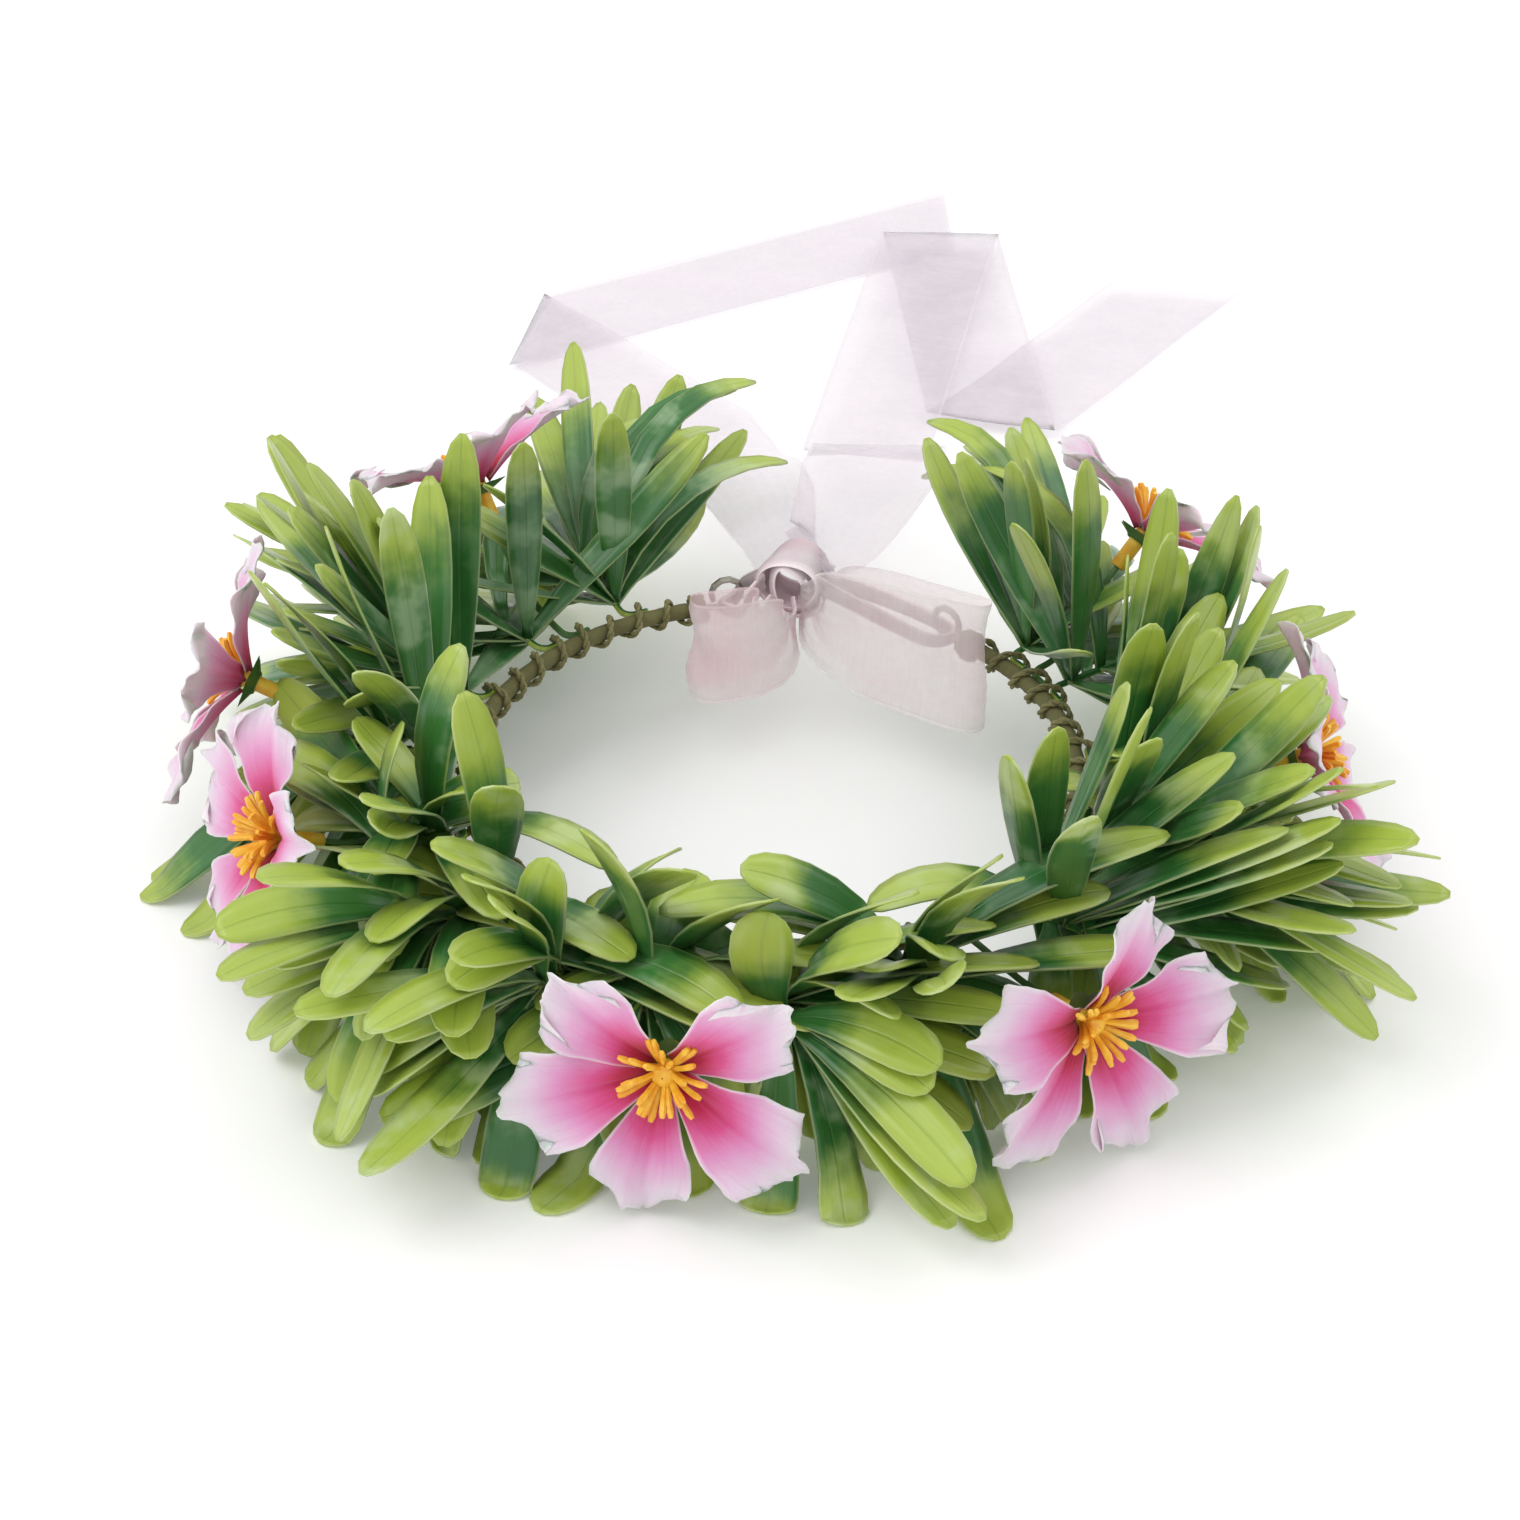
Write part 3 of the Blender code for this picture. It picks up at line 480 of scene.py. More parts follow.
def blossom_stem(turns, centre, facing):
    points, out = stem_route(turns)
    peg_end = centre - facing * PEG_LENGTH
    start, end = points[-1], peg_end - facing * 0.003
    pull = (end - start).length * 0.4
    before, after = start + out * pull, end - facing * pull
    for step in range(1, 15):
        t = step / 14
        curve = start * (1 - t) ** 3 + before * 3 * t * (1 - t) ** 2
        points.append(curve + after * 3 * t * t * (1 - t) + end * t**3)
    points.append(peg_end + facing * (SOCKET_DEPTH - 0.001))
    return points


def stem_finish():
    finish = Finish("stem_green", Roughness=0.42)
    streaks = finish.grain(finish.place(), 260.0, 3.0)
    finish.surface("Base Color", finish.mixed(streaks, (0.045, 0.135, 0.035), (0.120, 0.240, 0.060)))
    finish.relief(streaks, 0.25, 0.0003)
    return finish.material


stem_green = stem_finish()
blossoms = {}
for joint in frame["joints"]:
    flower = joint["name"].removeprefix("blossom_").removesuffix("_turn")
    blossoms[flower] = (Vector(joint["pos_m"]), Vector(joint["axis"]).normalized())
for flower, (centre, facing) in blossoms.items():
    stem = rod(f"stem_{flower}", blossom_stem(BLOSSOM_TURNS[flower], centre, facing), STEM_RADIUS, 8)
    add_finish(stem, stem_green)
    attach(stem, "crown")
    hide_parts(f"blossom_{flower}_stem")

# The leaf sprigs.
# Sixteen moulded sprigs of soft airbrushed plastic: a short stem with whorls of leaves, each with a
# folded midrib and a rounded tip. The leaves near the front are short and broad.
SPRIG_STEM_LENGTH = 0.027
LEAF_THICKNESS = 0.0006
MASTER_LENGTH = 0.060
# Rows of a blade from its base, as shares of its length, with the width share of each outline.
LEAF_ROWS = (0.0, 0.09, 0.22, 0.37, 0.53, 0.67, 0.79, 0.89, 0.96, 1.0)
LEAF_OUTLINES = {
    "strap": (0.26, 0.34, 0.62, 0.84, 0.97, 1.0, 0.96, 0.80, 0.54, 0.16),
    "spoon": (0.22, 0.30, 0.52, 0.74, 0.93, 1.0, 0.98, 0.85, 0.60, 0.20),
    "sliver": (0.34, 0.48, 0.74, 0.92, 1.0, 0.97, 0.86, 0.66, 0.42, 0.12),
}
MASTER_WIDTH = 0.012
FOLD_DEPTH = 0.0016
EDGE_CURL = 0.0009
SAME_PLACE = 1e-5


def select_row(mesh, place):
    """Selects the points of a flat blade at a distance along it."""
    for vert in mesh.vertices:
        vert.select = abs(vert.co.y - place) < SAME_PLACE


def leaf_master(shape):
    """A flat blade of one outline, folded along its midrib and given its thickness."""
    bpy.ops.object.select_all(action="DESELECT")
    bpy.ops.mesh.primitive_grid_add(x_subdivisions=4, y_subdivisions=len(LEAF_ROWS) - 1, size=1.0)
    blade = bpy.context.object
    blade.name = f"blade_{shape}"
    rows = len(LEAF_ROWS) - 1
    bpy.ops.object.mode_set(mode="EDIT")
    bpy.ops.mesh.select_mode(type="VERT")
    for index in range(rows, -1, -1):
        flat_place = index / rows - 0.5
        share, width = LEAF_ROWS[index], LEAF_OUTLINES[shape][index]
        bpy.ops.mesh.select_all(action="DESELECT")
        bpy.ops.object.mode_set(mode="OBJECT")
        select_row(blade.data, flat_place)
        bpy.ops.object.mode_set(mode="EDIT")
        bpy.ops.transform.resize(value=(width, 1.0, 1.0), center_override=(0.0, 0.0, 0.0))
        bpy.ops.transform.translate(value=(0.0, share + 1.0 - flat_place, 0.0))
    bpy.ops.object.mode_set(mode="OBJECT")
    points = points_of(blade)
    half = MASTER_WIDTH / 2
    across = points[:, 0] * 2
    along = points[:, 1] - 1.0
    body = np.sin(np.clip(along, 0.0, 1.0) * math.pi * 0.9 + 0.15)
    points[:, 0] *= MASTER_WIDTH
    points[:, 1] = along * MASTER_LENGTH
    points[:, 2] = FOLD_DEPTH * body * np.abs(across) ** 0.8 - EDGE_CURL * body * across**4
    move_points(blade, points)
    wall = blade.modifiers.new("Wall", "SOLIDIFY")
    wall.thickness = LEAF_THICKNESS
    wall.offset = 0.0
    bpy.ops.object.modifier_apply(modifier="Wall")
    bpy.ops.object.mode_set(mode="EDIT")
    bpy.ops.mesh.select_all(action="SELECT")
    bpy.ops.mesh.normals_make_consistent(inside=False)
    bpy.ops.object.mode_set(mode="OBJECT")
    bpy.ops.object.shade_smooth()
    blade.hide_render = True
    return blade


COURSE_STEPS = 14
COURSE_MIDDLE = 8
NEAR_ENOUGH = 0.068
HULL_ROWS = (1, 3, 5, 7, 9)
HALF_HULL = 0.0004
LEAF_FLOOR = 0.0006
LEAF_ROOM = 0.00035
# Leaves of each style of sprig, as the place on the stem, heading from outwards (positive away
# from the hoop's gap), lift, change of lift and of heading, length, width and shape.
FRONT_LEAVES = (
    (0.004, 80.0, 40.0, -48.0, 16.0, 0.054, 0.0135, "spoon"),
    (0.004, -84.0, 38.0, -44.0, -16.0, 0.052, 0.0135, "spoon"),
    (0.012, 48.0, 12.0, -20.0, 10.0, 0.054, 0.0140, "spoon"),
    (0.012, -50.0, 18.0, -25.0, -10.0, 0.054, 0.0140, "spoon"),
    (0.012, 12.0, 55.0, -60.0, 0.0, 0.044, 0.0130, "spoon"),
    (0.021, 12.0, -20.0, -34.0, 0.0, 0.062, 0.0140, "strap"),
    (0.021, -16.0, 30.0, -50.0, 0.0, 0.054, 0.0135, "spoon"),
    (0.016, 40.0, 62.0, 74.0, 0.0, 0.034, 0.0150, "spoon"),
    (0.008, -40.0, 70.0, 66.0, 0.0, 0.036, 0.0145, "spoon"),
)
SIDE_LEAVES = (
    (0.004, 55.0, 46.0, -10.0, -10.0, 0.060, 0.0118, "strap"),
    (0.004, -62.0, 42.0, -6.0, 10.0, 0.060, 0.0118, "strap"),
    (0.012, 36.0, 14.0, 14.0, -12.0, 0.068, 0.0120, "strap"),
    (0.012, -40.0, 20.0, 12.0, 12.0, 0.068, 0.0120, "strap"),
    (0.012, 4.0, 50.0, -16.0, 0.0, 0.060, 0.0115, "strap"),
    (0.021, 8.0, -16.0, -20.0, 0.0, 0.066, 0.0120, "strap"),
    (0.021, -6.0, 26.0, -24.0, 0.0, 0.068, 0.0120, "strap"),
)
BACK_LEAVES = (
    (0.004, 42.0, 42.0, 16.0, -15.0, 0.066, 0.0100, "strap"),
    (0.004, -45.0, 38.0, 18.0, -20.0, 0.066, 0.0100, "strap"),
    (0.012, 32.0, 16.0, 32.0, 0.0, 0.068, 0.0105, "strap"),
    (0.012, -36.0, 14.0, 34.0, 0.0, 0.066, 0.0105, "strap"),
    (0.012, 0.0, 48.0, 14.0, 15.0, 0.066, 0.0098, "sliver"),
    (0.021, 6.0, -18.0, 26.0, 0.0, 0.064, 0.0105, "strap"),
    (0.021, -8.0, 34.0, 26.0, 0.0, 0.066, 0.0100, "strap"),
)
END_LEAVES = (
    (0.004, 58.0, 56.0, -8.0, 10.0, 0.062, 0.0100, "strap"),
    (0.012, 36.0, 24.0, 26.0, 0.0, 0.066, 0.0105, "strap"),
    (0.012, -58.0, 10.0, 6.0, -8.0, 0.056, 0.0100, "strap"),
    (0.012, 10.0, 62.0, -24.0, 0.0, 0.062, 0.0092, "sliver"),
    (0.021, 6.0, 44.0, 8.0, 0.0, 0.066, 0.0100, "strap"),
    (0.021, -30.0, 22.0, 20.0, 0.0, 0.058, 0.0100, "strap"),
)
# Leaves that only some sprigs have: they lie over the hoop, or arch over its gap.
ARCHED = (
    (0.006, -40.0, 84.0, -100.0, -50.0, 0.084, 0.0074, "sliver"),
    (0.004, -70.0, 62.0, -84.0, -20.0, 0.070, 0.0078, "sliver"),
    (0.014, -14.0, 80.0, -88.0, -70.0, 0.074, 0.0076, "sliver"),
    (0.014, -54.0, 66.0, -90.0, -20.0, 0.066, 0.0078, "sliver"),
    (0.022, -30.0, 60.0, -80.0, -40.0, 0.058, 0.0082, "sliver"),
)
SINGLE_LEAVES = {
    1: ARCHED,
    2: ((0.012, -30.0, 78.0, -84.0, -50.0, 0.070, 0.0082, "sliver"),),
    3: (
        (0.021, -10.0, -14.0, 8.0, 0.0, 0.070, 0.0120, "spoon"),
        (0.012, 28.0, -8.0, 10.0, 0.0, 0.074, 0.0120, "spoon"),
    ),
    4: (
        (0.018, 165.0, 50.0, -40.0, 0.0, 0.036, 0.0140, "spoon"),
        (0.021, 0.0, -10.0, 8.0, 0.0, 0.070, 0.0125, "spoon"),
        (0.016, 24.0, 4.0, 0.0, 0.0, 0.072, 0.0125, "spoon"),
        (0.016, -24.0, 0.0, 6.0, 0.0, 0.072, 0.0125, "spoon"),
    ),
    5: (
        (0.021, -16.0, -8.0, 6.0, 0.0, 0.070, 0.0125, "spoon"),
        (0.012, -40.0, 6.0, 0.0, 0.0, 0.072, 0.0125, "spoon"),
        (0.004, 6.0, 76.0, 46.0, 0.0, 0.058, 0.0120, "strap"),
        (0.004, 122.0, 52.0, -72.0, 0.0, 0.062, 0.0140, "strap"),
        (0.016, 150.0, 44.0, -40.0, 0.0, 0.036, 0.0140, "spoon"),
    ),
    7: (
        (0.010, 60.0, 40.0, -60.0, 0.0, 0.056, 0.0135, "strap"),
        (0.018, -10.0, -24.0, 16.0, 0.0, 0.068, 0.0140, "spoon"),
    ),
    8: (
        (0.018, 0.0, -26.0, 18.0, 0.0, 0.072, 0.0145, "spoon"),
        (0.012, -30.0, -24.0, 18.0, 0.0, 0.070, 0.0140, "spoon"),
    ),
    9: (
        (0.018, 0.0, -26.0, 18.0, 0.0, 0.070, 0.0145, "spoon"),
        (0.012, -26.0, -20.0, 12.0, 0.0, 0.068, 0.0140, "spoon"),
    ),
    10: (
        (0.018, 0.0, -26.0, 16.0, 0.0, 0.068, 0.0140, "spoon"),
        (0.004, 108.0, 56.0, -76.0, 0.0, 0.066, 0.0145, "strap"),
        (0.004, -86.0, 44.0, -46.0, 0.0, 0.072, 0.0155, "strap"),
    ),
    11: ((0.004, 116.0, 56.0, -80.0, 0.0, 0.050, 0.0165, "spoon"),),
    13: ((0.006, 150.0, 56.0, -60.0, 0.0, 0.030, 0.0150, "spoon"),),
    14: ((0.004, 112.0, 34.0, -50.0, 0.0, 0.042, 0.0170, "spoon"),),
    15: ((0.012, -30.0, 78.0, -84.0, -50.0, 0.070, 0.0082, "sliver"),),
    16: (
        (0.006, -24.0, 84.0, -100.0, -60.0, 0.080, 0.0074, "sliver"),
        (0.004, -44.0, 76.0, -96.0, -40.0, 0.072, 0.0076, "sliver"),
        (0.014, -8.0, 80.0, -90.0, -70.0, 0.074, 0.0076, "sliver"),
        (0.022, -16.0, 62.0, -80.0, -40.0, 0.060, 0.0080, "sliver"),
    ),
}
# Whorls that fill each style: place on the stem, leaves, opening from the stem, change of lift,
# length, width and shape.
FRONT_WHORLS = (
    (0.003, 6, 74.0, -30.0, 0.050, 0.0130, "spoon"),
    (0.013, 6, 56.0, -38.0, 0.054, 0.0138, "spoon"),
    (0.022, 5, 36.0, -34.0, 0.054, 0.0132, "spoon"),
    (0.008, 6, 66.0, -40.0, 0.046, 0.0128, "spoon"),
    (0.018, 6, 46.0, -44.0, 0.050, 0.0130, "spoon"),
    (0.026, 4, 20.0, -36.0, 0.048, 0.0125, "spoon"),
)
SIDE_WHORLS = (
    (0.003, 6, 62.0, 0.0, 0.060, 0.0112, "strap"),
    (0.013, 6, 44.0, 4.0, 0.066, 0.0118, "strap"),
    (0.022, 5, 26.0, 0.0, 0.066, 0.0115, "strap"),
    (0.008, 6, 54.0, 8.0, 0.056, 0.0112, "strap"),
    (0.018, 6, 36.0, 10.0, 0.060, 0.0112, "strap"),
    (0.026, 4, 18.0, -6.0, 0.056, 0.0112, "spoon"),
)
BACK_WHORLS = (
    (0.003, 7, 56.0, 8.0, 0.062, 0.0100, "strap"),
    (0.013, 6, 40.0, 18.0, 0.064, 0.0102, "strap"),
    (0.022, 5, 22.0, 20.0, 0.064, 0.0100, "strap"),
    (0.008, 6, 48.0, 24.0, 0.060, 0.0098, "strap"),
    (0.018, 6, 30.0, 28.0, 0.058, 0.0100, "strap"),
)
LEAF_TRIES = sorted(
    ((turn, lift) for turn in range(-50, 51, 10) for lift in range(-40, 41, 10)),
    key=lambda change: (abs(change[0]) + abs(change[1]) * 1.2, change),
)
# How many of those tries a leaf gets: the single leaves, each style's own, and the last whorls.
TRY_LIMITS = (len(LEAF_TRIES), 60, 30)
chance = random.Random(23)


def unit_rows(rows):
    return rows / np.maximum(np.linalg.norm(rows, axis=1, keepdims=True), 1e-9)


def leaf_course(base, compass, lift, lift_change, turn_change, length, roll, twist):
    """Points along a leaf's midrib, with the way, the across and the normal at each."""
    share = (np.arange(COURSE_STEPS) + 0.5) / COURSE_STEPS
    turn = np.radians(compass + turn_change * share)
    rise = np.radians(lift + lift_change * share)
    ways = np.stack([np.sin(turn) * np.cos(rise), -np.cos(turn) * np.cos(rise), np.sin(rise)], 1)
    steps = np.cumsum(ways, 0) * length / COURSE_STEPS
    points = np.array(base) + np.vstack([np.zeros(3), steps])
    points[:, 2] = np.maximum(points[:, 2], LEAF_FLOOR)
    ways = unit_rows(np.gradient(points, axis=0))
    across = np.cross(ways[0], (0.0, 0.0, 1.0))
    acrosses = []
    for way in ways:
        across = across - way * across.dot(way)
        across = across / np.linalg.norm(across)
        acrosses.append(across)
    acrosses = np.array(acrosses)
    normals = np.cross(acrosses, ways)
    raised = np.clip((points[:, 2] - LEAF_FLOOR) / 0.012, 0.0, 1.0)
    angle = np.radians(roll + twist * np.linspace(0, 1, COURSE_STEPS + 1)) * raised
    cosine, sine = np.cos(angle)[:, None], np.sin(angle)[:, None]
    return points, ways, acrosses * cosine + normals * sine, normals * cosine - acrosses * sine


def closed_rings(rings):
    """A closed skin round rings of points with the same count, to test room with."""
    count = len(rings[0])
    corners = [Vector(corner) for ring in rings for corner in ring]
    faces = [tuple(range(count))[::-1], tuple(range(len(corners) - count, len(corners)))]
    for ring in range(len(rings) - 1):
        for i in range(count):
            j = (i + 1) % count
            low = ring * count
            faces.append((low + i, low + j, low + count + j, low + count + i))
    return BVHTree.FromPolygons(corners, faces)


def leaf_hull(course, shape, width, first):
    """The room that a leaf takes from one of its rows to its tip."""
    points, _, acrosses, normals = course
    rings = []
    for row in HULL_ROWS[HULL_ROWS.index(first) :]:
        index = min(COURSE_STEPS, int(round(LEAF_ROWS[row] * COURSE_STEPS)))
        half = width / 2 * LEAF_OUTLINES[shape][row] + LEAF_ROOM
        side, rise = acrosses[index] * half, normals[index] * (HALF_HULL + LEAF_ROOM)
        corners = (side - rise, side + rise, -side + rise, -side - rise)
        rings.append([points[index] + corner for corner in corners])
    return closed_rings(rings)


def fitted_leaf(master, course, width, tone):
    """A copy of a blade, laid along its course."""
    leaf = copy_of(master)
    leaf.hide_render = False
    flat = points_of(leaf)
    at = np.clip(flat[:, 1] / MASTER_LENGTH, 0.0, 1.0) * COURSE_STEPS
    places = np.arange(COURSE_STEPS + 1)
    points, _, acrosses, normals = (
        np.stack([np.interp(at, places, rows[:, axis]) for axis in range(3)], 1) for rows in course
    )
    laid = points + acrosses * (flat[:, :1] * width / MASTER_WIDTH) + normals * flat[:, 2:]
    laid[:, 2] = np.maximum(laid[:, 2], 0.0001 + np.maximum(flat[:, 2], 0.0))
    move_points(leaf, laid)
    marks = leaf.data.attributes.new("leaf_tone", "FLOAT_VECTOR", "POINT")
    marks.data.foreach_set("vector", np.tile(np.array(tone, np.float32), len(flat)))
    return leaf


def ring_round(centre, axis, radius, count=12):
    side = axis.orthogonal().normalized()
    other = axis.cross(side)
    turns = [2 * math.pi * step / count for step in range(count)]
    return [centre + (side * math.cos(turn) + other * math.sin(turn)) * radius for turn in turns]


PETAL_REACH = 0.038
PETAL_CUP = 0.009
STAMEN_RADIUS = 0.0115
STAMEN_HEIGHT = 0.012
TURNING_ROOM = 0.0025
BOUND_RADIUS = 0.0046
STEM_ROOM = 0.002
# The dish that a blossom sweeps as it turns on its stem, as radii and heights along its axis.
SWEPT_DISH = (
    (0.004, -0.004),
    (0.007, -0.004),
    (PETAL_REACH * 0.5, -0.0005),
    (PETAL_REACH + TURNING_ROOM, -0.0030),
    (PETAL_REACH + TURNING_ROOM, PETAL_CUP + 2 * TURNING_ROOM),
    (STAMEN_RADIUS + TURNING_ROOM, STAMEN_HEIGHT + TURNING_ROOM),
    (0.004, STAMEN_HEIGHT + TURNING_ROOM),
)
taken = []
for flower, (centre, facing) in blossoms.items():
    dish = [ring_round(centre + facing * up, facing, radius) for radius, up in SWEPT_DISH]
    taken.append(closed_rings(dish))
    route = blossom_stem(BLOSSOM_TURNS[flower], centre, facing)[6::2]
    bars = [ring_round(at, after - at, STEM_ROOM, 6) for at, after in zip(route, route[1:])]
    taken.append(closed_rings(bars))
for name, node in frame["nodes"].items():
    if name.startswith("ribbon"):
        corners = [vert.co for vert in node.data.vertices]
        taken.append(BVHTree.FromPolygons(corners, [tuple(face.vertices) for face in node.data.polygons]))
hoop_rings = []
for step, point in enumerate(hoop_arc(72)):
    hoop_rings.append(ring_round(point, onwards(HALF_SWEEP * (step / 36 - 1)), BOUND_RADIUS, 8))
taken.append(closed_rings(hoop_rings))
masters = {shape: leaf_master(shape) for shape in LEAF_OUTLINES}


def placed_leaf(base, leaf, roll, twist, near, limit):
    """A leaf's course, turned as little as it needs to stay clear of what is there, or None."""
    _, turn, lift, lift_change, turn_change, length, width, shape = leaf
    for share in (1.0, 0.78):
        for more_turn, more_lift in LEAF_TRIES[:limit]:
            way = (turn + more_turn, lift + more_lift, lift_change, turn_change)
            course = leaf_course(base, *way, length * share, roll, twist)
            whole = leaf_hull(course, shape, width, HULL_ROWS[0])
            if any(whole.overlap(other) for other in taken):
                continue
            blade = leaf_hull(course, shape, width, HULL_ROWS[1])
            middle = course[0][COURSE_MIDDLE]
            close = (other for other, place in near if np.linalg.norm(place - middle) < NEAR_ENOUGH)
            if not any(blade.overlap(other) for other in close):
                near.append((blade, middle))
                return course
    return None


def whorl_leaves(whorls, out):
    """Leaves round the stem at each whorl, spread evenly with a little chance, as headings."""
    made = []
    for index, (place, count, opening, lift_change, length, width, shape) in enumerate(whorls):
        for step in range(count):
            around = math.radians(360 * (step + 0.5 * (index % 2)) / count + chance.uniform(-16, 16))
            level = UP.cross(out).normalized()
            rise = out.cross(level)
            closed = 0.7 if math.sin(around) < -0.3 else 1.0
            spread = math.radians(opening * closed + chance.uniform(-8, 8))
            side = level * math.cos(around) + rise * math.sin(around)
            way = out * math.cos(spread) + side * math.sin(spread)
            compass = math.degrees(math.atan2(way.x, -way.y))
            lift = math.degrees(math.asin(way.z))
            shift = chance.uniform(-12, 12)
            grown = chance.uniform(0.86, 1.12)
            turn_change = chance.uniform(-18, 18)
            curl = (lift_change + shift, turn_change)
            made.append((place, compass, lift, *curl, length * grown, width, shape))
    return made


def mirrored(leaves, angle):
    """Leaves of a style with their headings round the hoop, the right side as in a mirror."""
    side = 1.0 if angle > 0 else -1.0
    return [(leaf[0], angle - leaf[1] * side, *leaf[2:4], -leaf[4] * side, *leaf[5:]) for leaf in leaves]


def style_of(angle):
    if abs(angle) < 60:
        return FRONT_LEAVES, FRONT_WHORLS
    if abs(angle) < 105:
        return SIDE_LEAVES, SIDE_WHORLS
    return (BACK_LEAVES if abs(angle) < 132 else END_LEAVES), BACK_WHORLS


def sprig_stem(number, turns):
    """A sprig's stem, with where it leaves the hoop and which way."""
    route, out = stem_route(turns)
    start = route[-1]
    route += [start + out * SPRIG_STEM_LENGTH * step / 6 for step in range(1, 7)]
    radii = [1.0] * (len(route) - 2) + [0.8, 0.5]
    return rod(f"sprig_stem_{number:02d}", route, STEM_RADIUS, 8, radii), start, out


LEAF_DEEP = (0.014, 0.094, 0.022)
LEAF_GREEN = (0.034, 0.180, 0.032)
LEAF_LIME = (0.430, 0.530, 0.075)
# The pale green of the painted highlight along the leaves' edges.
LEAF_EDGE_HIGHLIGHT = (0.560, 0.640, 0.300)


def leaf_finish():
    finish = Finish("airbrushed_leaf", Coat_Weight=0.35, Coat_Roughness=0.22)
    across, along = finish.across_and_along()
    tone = finish.node("ShaderNodeAttribute", output="Vector", attribute_name="leaf_tone")
    # The third of each leaf's tones sets how strong its painted sheen is, and also shifts its streaks.
    chance_tone, lime_tone, sheen_tone = finish.parts(tone, "XYZ")
    where = finish.place()
    patches = finish.grain(where, 70.0, 3.0)
    streak_across = across * 14.0 + chance_tone * 50.0
    streak_along = along * 1.4 + lime_tone * 30.0
    streaks = finish.grain(finish.vector(streak_across, streak_along, sheen_tone * 9.0), 1.0, 3.0)
    start = 0.29 + lime_tone * 0.42
    lime = (along + (patches - 0.5) * 0.34 + (streaks - 0.5) * 0.10 - start).between(-0.06, 0.20)
    base = finish.mixed(streaks * 0.5 + patches.between(0.35, 0.65) * 0.5, LEAF_DEEP, LEAF_GREEN)
    base = finish.mixed(chance_tone * 0.5, base, (0.075, 0.270, 0.050))
    colour = finish.mixed(lime, base, finish.mixed(streaks * 0.5, LEAF_LIME, (0.290, 0.440, 0.050)))
    middle = (across - 0.5).math("ABSOLUTE")
    # A painted highlight: a pale line along both edges of each leaf, its cut edge included.
    rim = middle.between(0.455, 0.50)
    colour = finish.mixed(rim * 0.45, colour, LEAF_EDGE_HIGHLIGHT)
    rib = 1.0 - middle.between(0.0, 0.045)
    colour = finish.mixed(rib * 0.14, colour, (0.10, 0.25, 0.05))
    # A painted sheen: whitish patches over the leaves, stronger on some leaves than on others. The same
    # patches are a little rougher.
    painted_sheen = patches.between(0.50, 0.68) * sheen_tone * 0.38
    colour = finish.mixed(painted_sheen, colour, (0.62, 0.74, 0.52))
    finish.surface("Base Color", colour)
    finish.surface("Roughness", 0.30 + patches * 0.16 + painted_sheen * 0.3)
    finish.relief(streaks * 0.5 + patches * 0.6 - rib * 1.4, 0.35, 0.0006)
    return finish.material


# How much farther up the blade the lime starts on the longer leaves.
DARK_SHARE = {"spoon": 0.0, "strap": 0.22, "sliver": 0.35}
leaf_plastic = leaf_finish()
room_near = []
sprigs, wanted = [], ([], [], [])
for index, turns in enumerate(SPRIG_TURNS):
    angle = turn_angle(turns)
    leaves, whorls = style_of(angle)
    stem, start, out = sprig_stem(index + 1, turns)
    sprigs.append(([stem], start, out))
    wanted[0].append(mirrored(SINGLE_LEAVES.get(index + 1, ()), angle))
    wanted[1].append(mirrored(leaves, angle) + whorl_leaves(whorls[:3], out))
    wanted[2].append(whorl_leaves(whorls[3:], out))
for lists, limit in zip(wanted, TRY_LIMITS):
    for (parts, start, out), leaves, turns in zip(sprigs, lists, SPRIG_TURNS):
        leftwards = max(0.0, -math.sin(math.radians(turn_angle(turns))))
        reach = 1.0 if lists is wanted[0] else 1.02 + 0.11 * leftwards
        for leaf in leaves:
            roll, twist = chance.uniform(-28, 28), chance.uniform(-24, 24)
            tone = (chance.random(), 0.65 * chance.random() + DARK_SHARE[leaf[7]], chance.random())
            leaf = (*leaf[:5], leaf[5] * reach, *leaf[6:])
            course = placed_leaf(start + out * leaf[0], leaf, roll, twist, room_near, limit)
            if course is not None:
                parts.append(fitted_leaf(masters[leaf[7]], course, leaf[6], tone))
for index, (parts, _, _) in enumerate(sprigs):
    piece = joined(f"sprig_{index + 1:02d}", parts)
    add_finish(piece, leaf_plastic)
    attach(piece, "crown")
    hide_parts(f"leaf_sprig_{index + 1:02d}")
for master in masters.values():
    bpy.data.objects.remove(master)

# The petals.
# Five cloth petals printed from crimson to pale lilac, cut with a pinked edge and pressed hot to
# give each its cup, veins and ruffled rim. They sit one on another on the stamen's peg.
PETAL_ACROSS = 20
PETAL_ALONG = 16
PETAL_CLOTH = 0.00035
PETAL_ROOT = 0.0030
# Half width of a petal along its length, as shares of its widest half.
PETAL_OUTLINE = (
    *((0.0, 0.26), (0.12, 0.34), (0.30, 0.58), (0.50, 0.86)),
    *((0.68, 1.0), (0.84, 0.96), (1.0, 0.72)),
)
